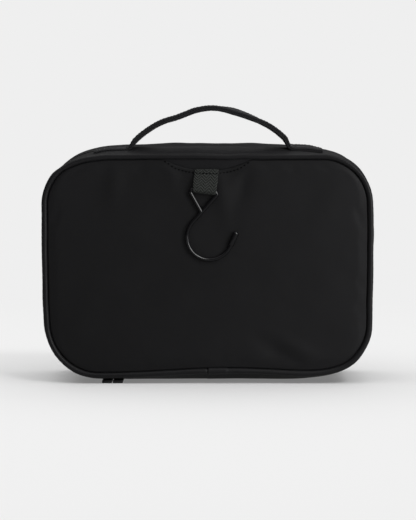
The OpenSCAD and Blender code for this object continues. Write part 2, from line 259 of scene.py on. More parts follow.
def sweep(name, profiles, side, keep=None):
    # profiles[i] is a closed polygon of (u, v) at station i; keep masks the stations that are swept
    count, points = profiles.shape[:2]
    x = ring["x"][:, None] + ring["nx"][:, None] * profiles[:, :, 0]
    z = ring["z"][:, None] + ring["nz"][:, None] * profiles[:, :, 0]
    y = depthY(profiles[:, :, 1], side)
    co = slump(np.stack([x, y, z], axis=2).reshape(-1, 3))
    around = lengthRound(profiles[0])
    stations = list(range(count)) if keep is None else list(np.nonzero(keep)[0])
    if keep is not None:  # start after the gap, so that the run of stations is in one piece
        gaps = [i for i, j in enumerate(stations) if i and j - stations[i - 1] > 1]
        if gaps:
            stations = stations[gaps[0]:] + stations[: gaps[0]]
    faces, uvs = [], []
    s = ring["s"]
    pairs = list(zip(stations, stations[1:] + stations[:1]))
    if keep is not None:
        pairs = pairs[:-1]
    for a, b in pairs:
        sb = s[b] if s[b] > s[a] else s[b] + ring["total"]
        for k in range(points):
            n = (k + 1) % points
            faces.append((a * points + k, b * points + k, b * points + n, a * points + n))
            uvs += [(s[a], around[k]), (sb, around[k]), (sb, around[k + 1]), (s[a], around[k + 1])]
    if keep is not None:
        for end in (stations[0], stations[-1]):
            faces.append([end * points + k for k in range(points)])
            uvs += [(profiles[end, k, 0], profiles[end, k, 1]) for k in range(points)]
    obj = newPiece(name, co, faces, uvs)
    if keep is not None:
        work = bmesh.new()
        work.from_mesh(obj.data)
        bmesh.ops.delete(work, geom=[v for v in work.verts if not v.link_faces], context="VERTS")
        work.to_mesh(obj.data)
        work.free()
    return faceOutwards(obj)


def thicken(line, thickness):  # a closed section round a line of (u, v), the line being its outer face
    d = np.gradient(line, axis=0)
    n = np.stack([-d[:, 1], d[:, 0]], axis=1)
    n /= np.linalg.norm(n, axis=1)[:, None]
    n *= np.sign((n[len(line) // 2] @ np.array([-1.0, 0])) or 1)  # inwards is towards smaller u
    inner = line + n * thickness
    return np.vstack([line, inner[::-1]])


def roundBar(widthU, heightV, steps=4):  # a rounded section about (0, 0)
    r = min(widthU, heightV) / 2
    a, b = widthU / 2 - r, heightV / 2 - r
    corners = [(a, b, 0), (-a, b, 90), (-a, -b, 180), (a, -b, 270)]
    points = []
    for cu, cv, start in corners:
        for i in range(steps + 1):
            t = math.radians(start + 90 * i / steps)
            points.append((cu + r * math.cos(t), cv + r * math.sin(t)))
    return np.array(points)


# sheets on the outline
def outlineRun(u, first, last, count):  # points of the offset outline between two arc lengths
    s = np.linspace(first, last, count)
    x, z = atStation(s, ring["x"]), atStation(s, ring["z"])
    nx, nz = atStation(s, ring["nx"]), atStation(s, ring["nz"])
    size = np.hypot(nx, nz)
    return np.stack([x + nx / size * u, z + nz / size * u], axis=1)


quarterRight = bag["halfWidth"] - bag["bottomRadius"] + math.pi / 4 * bag["bottomRadius"]
topQuarter = topMiddle - (bag["halfWidth"] - bag["topRadius"]) - math.pi / 4 * bag["topRadius"]


def patch(u, columns, rows, highZ=None):  # a grid of points over the outline, up to highZ
    total = ring["total"]
    bottom = outlineRun(u, -quarterRight, quarterRight, columns + 1)
    if highZ is None:
        right = outlineRun(u, quarterRight, topQuarter, rows + 1)
        top = outlineRun(u, 2 * topMiddle - topQuarter, topQuarter, columns + 1)
        left = outlineRun(u, total - quarterRight, 2 * topMiddle - topQuarter, rows + 1)
    else:
        reach = np.interp(highZ, ring["z"][(ring["s"] > quarterRight) & (ring["s"] < topMiddle)],
                          ring["s"][(ring["s"] > quarterRight) & (ring["s"] < topMiddle)])
        right = outlineRun(u, quarterRight, reach, rows + 1)
        left = outlineRun(u, total - quarterRight, total - reach, rows + 1)
        top = np.linspace(left[-1], right[-1], columns + 1)
    a = np.linspace(0, 1, columns + 1)[None, :, None]
    b = np.linspace(0, 1, rows + 1)[:, None, None]
    corners = bottom[0], bottom[-1], top[0], top[-1]
    ruled = (1 - b) * bottom[None] + b * top[None] + (1 - a) * left[:, None] + a * right[:, None]
    low = (1 - a) * (1 - b) * corners[0] + a * (1 - b) * corners[1]
    high = (1 - a) * b * corners[2] + a * b * corners[3]
    return ruled - (low + high)


def rim(rows, columns):  # indices of a grid's edge, walked anticlockwise from its lower left
    line = [j for j in range(columns)]
    line += [i * (columns + 1) + columns for i in range(rows)]
    line += [rows * (columns + 1) + j for j in range(columns, 0, -1)]
    line += [i * (columns + 1) for i in range(rows, 0, -1)]
    return line


def sheetPiece(name, side, grid, depth, thickness):
    # a closed sheet of cloth on a grid: depth(x, z) is how far its outer face lies behind the panel's plane
    rows, columns = grid.shape[0] - 1, grid.shape[1] - 1
    x, z = grid[:, :, 0].ravel(), grid[:, :, 1].ravel()
    v = np.broadcast_to(depth(x, z), x.shape)
    t = np.broadcast_to(thickness(x, z) if callable(thickness) else thickness, x.shape)
    outer = np.stack([x, depthY(v, side), z], axis=1)
    inner = np.stack([x, depthY(v + t, side), z], axis=1)
    co = slump(np.vstack([outer, inner]))
    n = len(x)
    faces = []
    for i in range(rows):
        for j in range(columns):
            a = i * (columns + 1) + j
            quad = (a, a + 1, a + columns + 2, a + columns + 1)
            faces.append(quad)
            faces.append(tuple(n + k for k in reversed(quad)))
    edge = rim(rows, columns)
    for a, b in zip(edge, edge[1:] + edge[:1]):
        faces.append((b, a, n + a, n + b))
    uvs = [(co[k][0], co[k][2]) for f in faces for k in f]
    return faceOutwards(newPiece(name, co, faces, uvs))


# node helpers
def addNode(tree, kind, place=(0, 0), **values):
    node = tree.nodes.new(kind)
    node.location = place
    for key, value in values.items():
        if hasattr(node, key):
            setattr(node, key, value)
        else:
            node.inputs[key].default_value = value
    return node


def mathNode(tree, operation, first, second=None, third=None):
    node = tree.nodes.new("ShaderNodeMath")
    node.operation = operation
    for slotNumber, value in enumerate((first, second, third)):
        if value is None:
            continue
        if isinstance(value, (int, float)):
            node.inputs[slotNumber].default_value = value
        else:
            tree.links.new(value, node.inputs[slotNumber])
    return node.outputs[0]


def newGroup(name, inputs, outputs):
    group = bpy.data.node_groups.new(name, "ShaderNodeTree")
    for label, kind, value in inputs:
        socket = group.interface.new_socket(name=label, in_out="INPUT", socket_type=kind)
        if value is not None:
            socket.default_value = value
    for label, kind in outputs:
        group.interface.new_socket(name=label, in_out="OUTPUT", socket_type=kind)
    return group, group.nodes.new("NodeGroupInput").outputs, group.nodes.new("NodeGroupOutput").inputs


def threadRound(tree, turns):  # the rounded height of threads that lie one to a turn
    return mathNode(tree, "ABSOLUTE", mathNode(tree, "SINE", mathNode(tree, "MULTIPLY", turns, math.pi)))


def makeTwillGroup():  # diagonal ribs of a fine twill, broken into single threads
    group, given, out = newGroup(
        "twillWeave",
        [("Coordinates", "NodeSocketVector", None), ("Thread", "NodeSocketFloat", 0.0006)],
        [("Height", "NodeSocketFloat"), ("Shade", "NodeSocketFloat")],
    )
    split = addNode(group, "ShaderNodeSeparateXYZ")
    group.links.new(given["Coordinates"], split.inputs[0])
    level = mathNode(group, "ADD", split.outputs[0], split.outputs[1])
    across = mathNode(group, "DIVIDE", level, given["Thread"])
    along = mathNode(group, "DIVIDE", split.outputs[2], given["Thread"])
    warp = threadRound(group, across)
    weft = threadRound(group, along)
    diagonal = mathNode(group, "MULTIPLY", mathNode(group, "ADD", across, along), math.pi / 2)
    rib = mathNode(group, "SINE", diagonal)
    over = mathNode(group, "GREATER_THAN", rib, 0.0)
    first = mathNode(group, "MULTIPLY", warp, over)
    second = mathNode(group, "MULTIPLY", weft, mathNode(group, "SUBTRACT", 1.0, over))
    height = mathNode(group, "ADD", first, second)
    group.links.new(height, out["Height"])
    group.links.new(mathNode(group, "MULTIPLY_ADD", rib, 0.25, 0.5), out["Shade"])
    return group


fineThread = 0.0007  # pitch of the single threads within a rib, in metres


def makeHerringboneGroup():  # ribs that turn back and forth across a webbing
    group, given, out = newGroup(
        "herringboneWeave",
        [
            ("Coordinates", "NodeSocketVector", None),
            ("Rib", "NodeSocketFloat", 0.0016),
            ("Column", "NodeSocketFloat", 0.0052),
        ],
        [("Height", "NodeSocketFloat"), ("Shade", "NodeSocketFloat")],
    )
    split = addNode(group, "ShaderNodeSeparateXYZ")
    group.links.new(given["Coordinates"], split.inputs[0])
    bend = mathNode(group, "PINGPONG", split.outputs[1], given["Column"])
    slope = mathNode(group, "DIVIDE", mathNode(group, "ADD", split.outputs[0], bend), given["Rib"])
    rib = threadRound(group, slope)
    thread = mathNode(group, "DIVIDE", mathNode(group, "SUBTRACT", split.outputs[0], bend), fineThread)
    fine = threadRound(group, thread)
    height = mathNode(group, "MULTIPLY_ADD", fine, 0.25, rib)
    group.links.new(height, out["Height"])
    group.links.new(rib, out["Shade"])
    return group


def makeRibGroup():  # parallel ribs, as on binding, elastic and zip tape
    group, given, out = newGroup(
        "ribbedTape",
        [("Coordinates", "NodeSocketVector", None), ("Pitch", "NodeSocketFloat", 0.001)],
        [("Height", "NodeSocketFloat"), ("Shade", "NodeSocketFloat")],
    )
    split = addNode(group, "ShaderNodeSeparateXYZ")
    group.links.new(given["Coordinates"], split.inputs[0])
    turns = mathNode(group, "DIVIDE", split.outputs[0], given["Pitch"])
    rib = threadRound(group, turns)
    cross = mathNode(group, "DIVIDE", split.outputs[1], given["Pitch"])
    knot = mathNode(group, "SINE", mathNode(group, "MULTIPLY", cross, 2 * math.pi))
    group.links.new(mathNode(group, "MULTIPLY_ADD", knot, 0.2, rib), out["Height"])
    group.links.new(rib, out["Shade"])
    return group


def makeWearGroup():  # handling and dust: broad tone changes with fine specks in them
    group, given, out = newGroup(
        "handledCloth",
        [
            ("Coordinates", "NodeSocketVector", None),
            ("Broad", "NodeSocketFloat", 9.0),
            ("Specks", "NodeSocketFloat", 0.3),
        ],
        [("Mask", "NodeSocketFloat"), ("Grain", "NodeSocketFloat")],
    )
    broad = addNode(group, "ShaderNodeTexNoise", Detail=3.0, Roughness=0.55)
    fine = addNode(group, "ShaderNodeTexNoise", Scale=900.0, Detail=2.0, Roughness=0.6)
    for node in (broad, fine):
        group.links.new(given["Coordinates"], node.inputs["Vector"])
    group.links.new(given["Broad"], broad.inputs["Scale"])
    grain = mathNode(group, "SUBTRACT", fine.outputs["Fac"], 0.5)
    speck = mathNode(group, "MULTIPLY", grain, given["Specks"])
    mask = mathNode(group, "ADD", broad.outputs["Fac"], speck)
    group.links.new(mathNode(group, "MULTIPLY_ADD", mask, 1.6, -0.3), out["Mask"])
    group.links.new(fine.outputs["Fac"], out["Grain"])
    return group


twillGroup = makeTwillGroup()
herringboneGroup = makeHerringboneGroup()
ribGroup = makeRibGroup()
wearGroup = makeWearGroup()


def placeGroup(tree, group, coordinates, **values):
    node = tree.nodes.new("ShaderNodeGroup")
    node.node_tree = group
    tree.links.new(coordinates, node.inputs["Coordinates"])
    for key, value in values.items():
        node.inputs[key].default_value = value
    return node


def mixColour(tree, factor, dark, light):
    mix = tree.nodes.new("ShaderNodeMix")
    mix.data_type = "RGBA"
    mix.clamp_factor = True
    tree.links.new(factor, mix.inputs["Factor"])
    mix.inputs["A"].default_value = (*dark, 1)
    mix.inputs["B"].default_value = (*light, 1)
    return mix.outputs["Result"]


def shade(value):  # a linear grey with a faint cool cast, or a colour as it is
    return value if isinstance(value, tuple) else (value, value * 0.98, value * 1.1)


def clothFinish(name, look):
    # look: weave (a group), its values, onThreads (the pattern follows the piece's own UV map), dark
    # and light tones, roughness, bump and its depth, sheen, specular, coat, holes
    material = bpy.data.materials.new(name)
    material.use_nodes = True
    tree = material.node_tree
    shader = tree.nodes["Principled BSDF"]
    place = addNode(tree, "ShaderNodeTexCoord")
    own = place.outputs["Object"]
    if look.get("onThreads"):
        own = addNode(tree, "ShaderNodeUVMap", uv_map="threads").outputs["UV"]
    wear = placeGroup(
        tree, wearGroup, place.outputs["Object"], Broad=look.get("broad", 9.0), Specks=look.get("specks", 0.3)
    )
    factor = wear.outputs["Mask"]
    height = wear.outputs["Grain"]
    if look.get("weave"):
        weave = placeGroup(tree, look["weave"], own, **look.get("values", {}))
        # the weave's Shade is high on the threads' tops and low in their grooves: painted shade between the
        # ribs, mixed into the colour by threadShade
        share = look.get("threadShade", 0.35)
        threads = mathNode(tree, "MULTIPLY", weave.outputs["Shade"], share)
        handled = mathNode(tree, "MULTIPLY", wear.outputs["Mask"], 1 - share)
        factor = mathNode(tree, "ADD", threads, handled)
        height = mathNode(tree, "MULTIPLY_ADD", wear.outputs["Grain"], 0.4, weave.outputs["Height"])
    colour = mixColour(tree, factor, shade(look["dark"]), shade(look["light"]))
    tree.links.new(colour, shader.inputs["Base Color"])
    bump = addNode(tree, "ShaderNodeBump", Strength=look["bump"], Distance=look["bumpDepth"])
    tree.links.new(height, bump.inputs["Height"])
    tree.links.new(bump.outputs["Normal"], shader.inputs["Normal"])
    low, high = look["roughness"]
    rough = addNode(tree, "ShaderNodeMapRange")
    rough.inputs["To Min"].default_value = low
    rough.inputs["To Max"].default_value = high
    tree.links.new(wear.outputs["Mask"], rough.inputs["Value"])
    tree.links.new(rough.outputs["Result"], shader.inputs["Roughness"])
    shader.inputs["Specular IOR Level"].default_value = look.get("specular", 0.2)
    shader.inputs["Sheen Weight"].default_value = look.get("sheen", 0.0)
    shader.inputs["Sheen Roughness"].default_value = 0.5
    shader.inputs["Coat Weight"].default_value = look.get("coat", 0.0)
    shader.inputs["Coat Roughness"].default_value = look.get("coatRoughness", 0.1)
    if look.get("holes"):  # openings of a knitted mesh, in staggered rows
        pitch = look["holes"]
        split = addNode(tree, "ShaderNodeSeparateXYZ")
        tree.links.new(own, split.inputs[0])
        rows = mathNode(tree, "SINE", mathNode(tree, "MULTIPLY", split.outputs[0], 2 * math.pi / pitch))
        turns = mathNode(tree, "MULTIPLY", split.outputs[1], 2 * math.pi / (pitch * 0.8))
        net = mathNode(tree, "ABSOLUTE", mathNode(tree, "MULTIPLY", rows, mathNode(tree, "SINE", turns)))
        opening = addNode(tree, "ShaderNodeMapRange", interpolation_type="SMOOTHSTEP")
        opening.inputs["From Min"].default_value = 0.30
        opening.inputs["From Max"].default_value = 0.42
        opening.inputs["To Min"].default_value = 1.0
        opening.inputs["To Max"].default_value = 0.0
        tree.links.new(net, opening.inputs["Value"])
        tree.links.new(opening.outputs["Result"], shader.inputs["Alpha"])
    return material


finishes = {
    "panelCloth": dict(
        weave=twillGroup, values={"Thread": 0.0006}, dark=0.0018, light=0.0046,
        roughness=(0.5, 0.64), bump=0.28, bumpDepth=0.00012, sheen=0.012, specular=0.11,
        threadShade=0.2, broad=7.0,
    ),
    "gussetCloth": dict(
        weave=twillGroup, values={"Thread": 0.0006}, onThreads=False, dark=0.0032, light=0.0072,
        roughness=(0.5, 0.64), bump=0.28, bumpDepth=0.00012, sheen=0.01, specular=0.095,
        threadShade=0.2,
    ),
    "pipingCloth": dict(
        weave=twillGroup, values={"Thread": 0.0006}, onThreads=True, dark=0.0024, light=0.0056,
        roughness=(0.42, 0.56), bump=0.3, bumpDepth=0.00012, sheen=0.01, specular=0.11,
        threadShade=0.3,
    ),
    "liningCloth": dict(
        weave=ribGroup, values={"Pitch": 0.0009}, onThreads=True, dark=0.02, light=0.034,
        roughness=(0.45, 0.6), bump=0.25, bumpDepth=0.0001, sheen=0.04, specular=0.3,
    ),
    "bindingTape": dict(
        weave=ribGroup, values={"Pitch": 0.0012}, onThreads=True, dark=0.008, light=0.018,
        roughness=(0.6, 0.75), bump=0.5, bumpDepth=0.0002, specular=0.25,
    ),
    "zipTapeWeave": dict(
        weave=ribGroup, values={"Pitch": 0.0007}, onThreads=True, dark=0.008, light=0.02,
        roughness=(0.55, 0.7), bump=0.45, bumpDepth=0.00015, specular=0.25,
    ),
    "nylonCoil": dict(
        dark=0.006, light=0.014, roughness=(0.3, 0.42), bump=0.15, bumpDepth=0.00005, specular=0.45,
        specks=0.5,
    ),
    "pocketMesh": dict(
        weave=ribGroup, values={"Pitch": 0.0006}, onThreads=True, dark=0.01, light=0.03,
        roughness=(0.55, 0.7), bump=0.5, bumpDepth=0.0002, specular=0.3, holes=0.0034,
    ),
    "elasticBand": dict(
        weave=ribGroup, values={"Pitch": 0.0009}, onThreads=True, dark=0.006, light=0.016,
        roughness=(0.6, 0.75), bump=0.6, bumpDepth=0.0003, specular=0.25, threadShade=0.6,
    ),
    # the webbings' high threadShade paints deep shade between their herringbone ribs
    "handleWebbing": dict(
        weave=herringboneGroup, values={"Rib": 0.0022, "Column": 0.0037}, onThreads=True,
        dark=0.001, light=0.0095, roughness=(0.5, 0.66), bump=0.8, bumpDepth=0.0005, specular=0.1,
        threadShade=0.75, sheen=0.02,
    ),
    "tabWebbing": dict(
        weave=herringboneGroup, values={"Rib": 0.0025, "Column": 0.0036}, onThreads=True,
        dark=(0.0008, 0.001, 0.0009), light=(0.019, 0.021, 0.019), roughness=(0.5, 0.66), bump=0.9,
        bumpDepth=0.0006, specular=0.12, threadShade=0.85, sheen=0.02,
    ),
    "sewingThread": dict(
        weave=ribGroup, values={"Pitch": 0.0004}, dark=0.014, light=0.03, roughness=(0.4, 0.55),
        bump=0.4, bumpDepth=0.0001, specular=0.35,
    ),
    # near-black, almost unreflecting thread: partly the thread's own dark tone, partly painted shade of the
    # needle holes along the seam
    "darkThreadAndHoleShade": dict(
        weave=ribGroup, values={"Pitch": 0.0004}, dark=0.0004, light=0.001, roughness=(0.4, 0.55),
        bump=0.4, bumpDepth=0.0001, specular=0.02,
    ),
    "fillerCord": dict(
        weave=twillGroup, values={"Thread": 0.0012}, onThreads=True, dark=0.45, light=0.68,
        roughness=(0.7, 0.85), bump=0.8, bumpDepth=0.0003,
    ),
    "foamPad": dict(
        dark=0.06, light=0.11, roughness=(0.8, 0.95), bump=0.6, bumpDepth=0.0003, broad=60.0,
        specks=0.8,
    ),
    "blackWire": dict(
        dark=0.001, light=0.0022, roughness=(0.1, 0.17), bump=0.05, bumpDepth=0.00005, specular=0.1,
        specks=0.4,
    ),
    "tipSleeve": dict(
        dark=0.001, light=0.002, roughness=(0.14, 0.2), bump=0.12, bumpDepth=0.00005, specular=0.1,
    ),
    "enamelledZinc": dict(
        dark=0.005, light=0.012, roughness=(0.22, 0.36), bump=0.12, bumpDepth=0.00008, specular=0.6,
        coat=0.4, coatRoughness=0.12, specks=0.6,
    ),
    "pullerTab": dict(
        dark=0.0022, light=0.005, roughness=(0.42, 0.55), bump=0.3, bumpDepth=0.0001, specular=0.2,
        specks=0.6,
    ),
}
materials = {name: clothFinish(name, look) for name, look in finishes.items()}
print("finishes made")


def finish(obj, material, body=None):
    obj.data.materials.clear()
    obj.data.materials.append(materials[material])
    if body:
        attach(obj, body)
    return obj


# outer panels
panel = {
    "columns": 96,
    "rows": 66,
    "edge": -6.5,  # where the flat panel ends and its rim begins
    "bulge": 1.15,
    "growth": -0.006,  # spare cloth, which gives the soft wrinkles
    "cap": 0.7,  # how far the simulated cloth may move
    "frames": 20,
    "mouthHalf": 36.0,
    "mouthX": 0.3,
    "mouthDip": 8.2,
    "seamRim": [(-6.0, 0.05), (-5.5, 0.3), (-5.05, 0.85), (-4.7, 1.7), (-4.0, 2.9), (-3.4, 4.2)],
    "hemRim": [(0.45, -0.05), (0.75, 0.35), (0.75, 0.9), (0.2, 1.25), (-2.2, 1.3), (-5.0, 1.35)],
}
folds = [  # soft folds of the back panel: middle x and z, direction, length, width, height
    (-78, 172, 84, 24, 7, 0.95),
    (12, 160, 100, 20, 6, 0.9),
    (30, 168, 76, 18, 6, -0.85),
    (62, 22, 142, 26, 8, -1.3),
    (78, 27, 150, 22, 7, 0.95),
    (-104, 60, 70, 30, 12, 0.7),
    (-30, 176, 95, 12, 5, 0.6),
    (100, 150, 60, 26, 11, 0.6),
]


def mouthArc(x):  # height of the pocket mouth's folded edge at x
    half, dip = panel["mouthHalf"], panel["mouthDip"]
    radius = (half**2 + dip**2) / (2 * dip)
    across = np.clip(np.asarray(x, float) - panel["mouthX"], -half, half)
    return bag["top"] + panel["edge"] - dip + radius - np.sqrt(radius**2 - across**2)


def foldRelief(x, z, rows):
    total = np.zeros(np.shape(x))
    for fx, fz, turn, length, width, height in rows:
        c, s = math.cos(math.radians(turn)), math.sin(math.radians(turn))
        along = (x - fx) * c + (z - fz) * s
        over = -(x - fx) * s + (z - fz) * c
        total += height * np.exp(-((along / length) ** 2) - (over / width) ** 2)
    return total


def panelBulge(x, z):  # how far the panel swells out of its plane, in millimetres
    w = bag["halfWidth"] + panel["edge"]
    low, high = bag["bottom"] - panel["edge"], bag["top"] + panel["edge"]
    t = (z - (low + high) / 2) / ((high - low) / 2)
    return panel["bulge"] * np.sqrt(np.clip((1 - np.abs(x / w) ** 2.6) * (1 - np.abs(t) ** 2.6), 0, 1))


clothValues = {
    "quality": 6,
    "mass": 0.2,
    "tension_stiffness": 12,
    "compression_stiffness": 12,
    "shear_stiffness": 5,
    "bending_stiffness": 0.6,
    "use_pressure": True,
    "uniform_pressure_force": 1.2,
    "shrink_min": panel["growth"],
}


def simulateCloth(obj, pinned):  # lets the panel settle, and gives its points in metres
    cloth = obj.modifiers.new("cloth", "CLOTH")
    group = obj.vertex_groups.new(name="sewn")
    group.add(pinned, 1.0, "REPLACE")
    cloth.settings.vertex_group_mass = "sewn"
    for key, value in clothValues.items():
        setattr(cloth.settings, key, value)
    cloth.settings.effector_weights.gravity = 0
    cloth.collision_settings.use_collision = False
    cloth.point_cache.frame_start = 1
    cloth.point_cache.frame_end = panel["frames"]
    scene = bpy.context.scene
    for frameNumber in range(1, panel["frames"] + 1):
        scene.frame_set(frameNumber)
    depsgraph = bpy.context.evaluated_depsgraph_get()
    settled = obj.evaluated_get(depsgraph)
    co = np.zeros(len(obj.data.vertices) * 3, np.float32)
    settled.data.vertices.foreach_get("co", co)
    obj.modifiers.remove(cloth)
    scene.frame_set(1)
    return co.reshape(-1, 3).astype(float)


def smoothGrid(values, passes):
    for _ in range(passes):
        near = values[:-2, 1:-1] + values[2:, 1:-1] + values[1:-1, :-2] + values[1:-1, 2:]
        values = values.copy()
        values[1:-1, 1:-1] = (values[1:-1, 1:-1] * 2 + near) / 6
    return values


def outerPanel(name, side, seed, mouth, foldRows):
    rows, columns = panel["rows"], panel["columns"]
    grid = patch(panel["edge"], columns, rows)
    if mouth:  # the top edge dips along the pocket's mouth, and the rows below it follow
        top = grid[-1].copy()
        limit = mouthArc(top[:, 0])
        inside = np.abs(top[:, 0] - panel["mouthX"]) < panel["mouthHalf"]
        drop = np.where(inside & (top[:, 1] > limit), top[:, 1] - limit, 0)
        grid[:, :, 1] -= drop[None, :] * (np.linspace(0, 1, rows + 1)[:, None] ** 3)
    x, z = grid[:, :, 0].ravel(), grid[:, :, 1].ravel()
    v = -panelBulge(x, z)
    edge = rim(rows, columns)
    edgeX, edgeZ = x[edge], z[edge]
    # the rim's rows are stations of the outline, or the turned hem where the pocket opens
    s = nearestStation(edgeX, edgeZ)
    nx, nz = atStation(s, ring["nx"]), atStation(s, ring["nz"])
    size = np.hypot(nx, nz)
    nx, nz = nx / size, nz / size
    atMouth = np.zeros(len(edge))
    if mouth:
        isTop = edgeZ > bag["top"] - 20
        reach = np.abs(edgeX - panel["mouthX"])
        atMouth = isTop * (1 - smoothStep(reach, panel["mouthHalf"] - 3, panel["mouthHalf"] + 0.5))
    points = [np.stack([x, depthY(v, side), z], axis=1)]
    baseX, baseZ = atStation(s, ring["x"]), atStation(s, ring["z"])
    for (u, seamV), (dz, hemV) in zip(panel["seamRim"], panel["hemRim"]):
        rowX = (baseX + nx * u) * (1 - atMouth) + edgeX * atMouth
        rowZ = (baseZ + nz * u) * (1 - atMouth) + (edgeZ + dz) * atMouth
        rowV = seamV * (1 - atMouth) + hemV * atMouth
        points.append(np.stack([rowX, depthY(rowV, side), rowZ], axis=1))
    co = slump(np.vstack(points))
    faces = []
    for i in range(rows):
        for j in range(columns):
            a = i * (columns + 1) + j
            faces.append((a, a + 1, a + columns + 2, a + columns + 1))
    flat = len(x)
    loops = [edge]
    for row in range(len(panel["seamRim"])):
        loops.append([flat + row * len(edge) + k for k in range(len(edge))])
    for inner, outer in zip(loops, loops[1:]):
        for k in range(len(edge)):
            n = (k + 1) % len(edge)
            faces.append((inner[n], inner[k], outer[k], outer[n]))
    if side == front:
        faces = [f[::-1] for f in faces]
    obj = newPiece(name, co, faces)
    sewn = {
        i * (columns + 1) + j for i in range(rows + 1) for j in range(columns + 1)
        if i in (0, 1, rows - 1, rows) or j in (0, 1, columns - 1, columns)
    }
    fixed = sorted(sewn | set(range(flat, len(co))))
    moved = simulateCloth(obj, fixed) / mm
    shift = (moved - co)[:flat].reshape(rows + 1, columns + 1, 3)
    shift = smoothGrid(shift, 3)
    reach = np.linalg.norm(shift, axis=2, keepdims=True)
    shift *= np.minimum(1, panel["cap"] / np.maximum(reach, 1e-6))
    co[:flat] += shift.reshape(-1, 3)
    inward = smoothStep(np.minimum(reachFromEdge(x, z), 30), 1, 14)
    relief = foldRelief(x, z, foldRows) + 0.22 * ripple(x, z, seed, 70)
    pucker = 0.18 * np.sin(s * 2 * math.pi / 7.3 + 2 * ripple(s, s, seed + 1, 90))
    co[:flat, 1] -= side * relief * inward
    near = flat + np.arange(2 * len(edge))
    co[near, 1] -= side * np.tile(pucker, 2) * 0.35
    obj.data.vertices.foreach_set("co", (co * mm).astype(np.float32).ravel())
    obj.data.update()
    solidify = obj.modifiers.new("thickness", "SOLIDIFY")
    solidify.thickness = bag["clothThickness"] * mm
    solidify.offset = -1
    subdivide = obj.modifiers.new("smooth", "SUBSURF")
    subdivide.levels = subdivide.render_levels = 1
    applyModifiers(obj)
    return obj


def applyModifiers(obj):
    bpy.ops.object.select_all(action="DESELECT")
    bpy.context.view_layer.objects.active = obj
    obj.select_set(True)
    for modifier in list(obj.modifiers):
        bpy.ops.object.modifier_apply(modifier=modifier.name)
    obj.select_set(False)


denseS = np.linspace(0, ring["total"], 3500, endpoint=False)
denseX, denseZ = atStation(denseS, ring["x"]), atStation(denseS, ring["z"])


def nearestStation(x, z):
    best = [int(np.argmin((denseX - a) ** 2 + (denseZ - b) ** 2)) for a, b in zip(x, z)]
    return denseS[best]


def reachFromEdge(x, z):  # distance inside the outline, near enough for a fade
    w, low, high = bag["halfWidth"], bag["bottom"], bag["top"]
    side = np.minimum(w - np.abs(x), np.minimum(z - low, high - z))
    r = np.where(z > 99.5, bag["topRadius"], bag["bottomRadius"])
    cx = np.maximum(np.abs(x) - (w - r), 0)
    cz = np.maximum(np.where(z > 99.5, z - (high - r), low + r - z), 0)
    corner = r - np.hypot(cx, cz)
    return np.where((cx > 0) & (cz > 0), corner, side) + panel["edge"]


backPanel = outerPanel("backPanelCloth", back, 11, True, folds)
finish(backPanel, "panelCloth", "back_half")
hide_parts("back_panel")
frontFolds = [(-60, 150, 70, 26, 9, 0.5), (50, 60, 130, 30, 9, -0.6), (80, 160, 100, 22, 8, 0.4)]
frontPanel = outerPanel("frontPanelCloth", front, 12, False, frontFolds)
finish(frontPanel, "panelCloth", "front_half")
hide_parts("front_panel")
print("outer panels made")


# hook pocket's facing, padding, linings
facing = {"halfWidth": 50, "low": 60, "high": 191.5, "thickness": 0.5}


def facingDepth(x, z):
    lift = smoothStep(z, 183, 190)
    return 1.75 - 0.75 * lift + 0.12 * ripple(x, z, 21, 30)


a, b = np.meshgrid(np.linspace(-1, 1, 51), np.linspace(facing["low"], facing["high"], 66))
facingGrid = np.stack([a * facing["halfWidth"], b], axis=2)
pocketFacing = sheetPiece("hookPocketFacing", back, facingGrid, facingDepth, facing["thickness"])
finish(pocketFacing, "gussetCloth", "back_half")
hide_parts("back_pocket_facing")

padding = {"u": -5.6, "depth": 2.35, "thickness": 2.9}
lining = {"u": -4.2, "depth": 5.7, "thickness": 0.5}


def padThickness(x, z):
    return padding["thickness"] * (0.35 + 0.65 * smoothStep(reachFromEdge(x, z), -2, 9))


def padDepth(x, z):
    return np.full(np.shape(x), padding["depth"])


def liningDepth(seed):  # the lining's depth, gently uneven away from its seam
    def depthAt(x, z):
        uneven = 0.25 * ripple(x, z, seed, 45)
        return lining["depth"] + uneven * smoothStep(reachFromEdge(x, z), -1, 12)

    return depthAt


for side, half, body in ((back, "back", "back_half"), (front, "front", "front_half")):
    pad = sheetPiece(half + "Padding", side, patch(padding["u"], 60, 42), padDepth, padThickness)
    finish(pad, "foamPad", body)
    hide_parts(half + "_foam")
    liningGrid = patch(lining["u"], 70, 50)
    inside = sheetPiece(half + "LiningCloth", side, liningGrid, liningDepth(31 + side), lining["thickness"])
    finish(inside, "liningCloth", body)
    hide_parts(half + "_lining")
print("padding and linings made")


# piping, its cord and the inner binding
stitchPitch = 3.1


def pipingSections():
    r = bag["pipingRadius"]
    turns = np.radians(np.linspace(-55, 235, 22))  # open towards the seam
    sections = []
    for s, x, nz in zip(ring["s"], ring["x"], ring["nz"]):
        grow = 0.05 * math.sin(2 * math.pi * s / stitchPitch)  # drawn in at each stitch
        grow += 0.06 * math.sin(s / 9.7) + 0.05 * math.sin(s / 4.1 + 1)
        if nz < -0.9:  # the overlapped join at the bottom
            grow += 0.42 * float(smoothStep(x, 0.2, 0.6) * (1 - smoothStep(x, 15.5, 17.5)))
            grow -= 0.7 * math.exp(-(((x - 0.1) / 0.35) ** 2))
        section = []
        for t in turns:
            section.append((-r + (r + grow) * math.cos(t), bag["pipingDepth"] - (r + grow) * math.sin(t)))
        tail = [(-r - 0.55, 5.6), (-r + 0.55, 5.6)]  # the flange that goes into the seam
        sections.append(section + tail)
    return np.array(sections)


def constantSection(points):
    return np.repeat(np.asarray(points, float)[None], len(ring["s"]), axis=0)


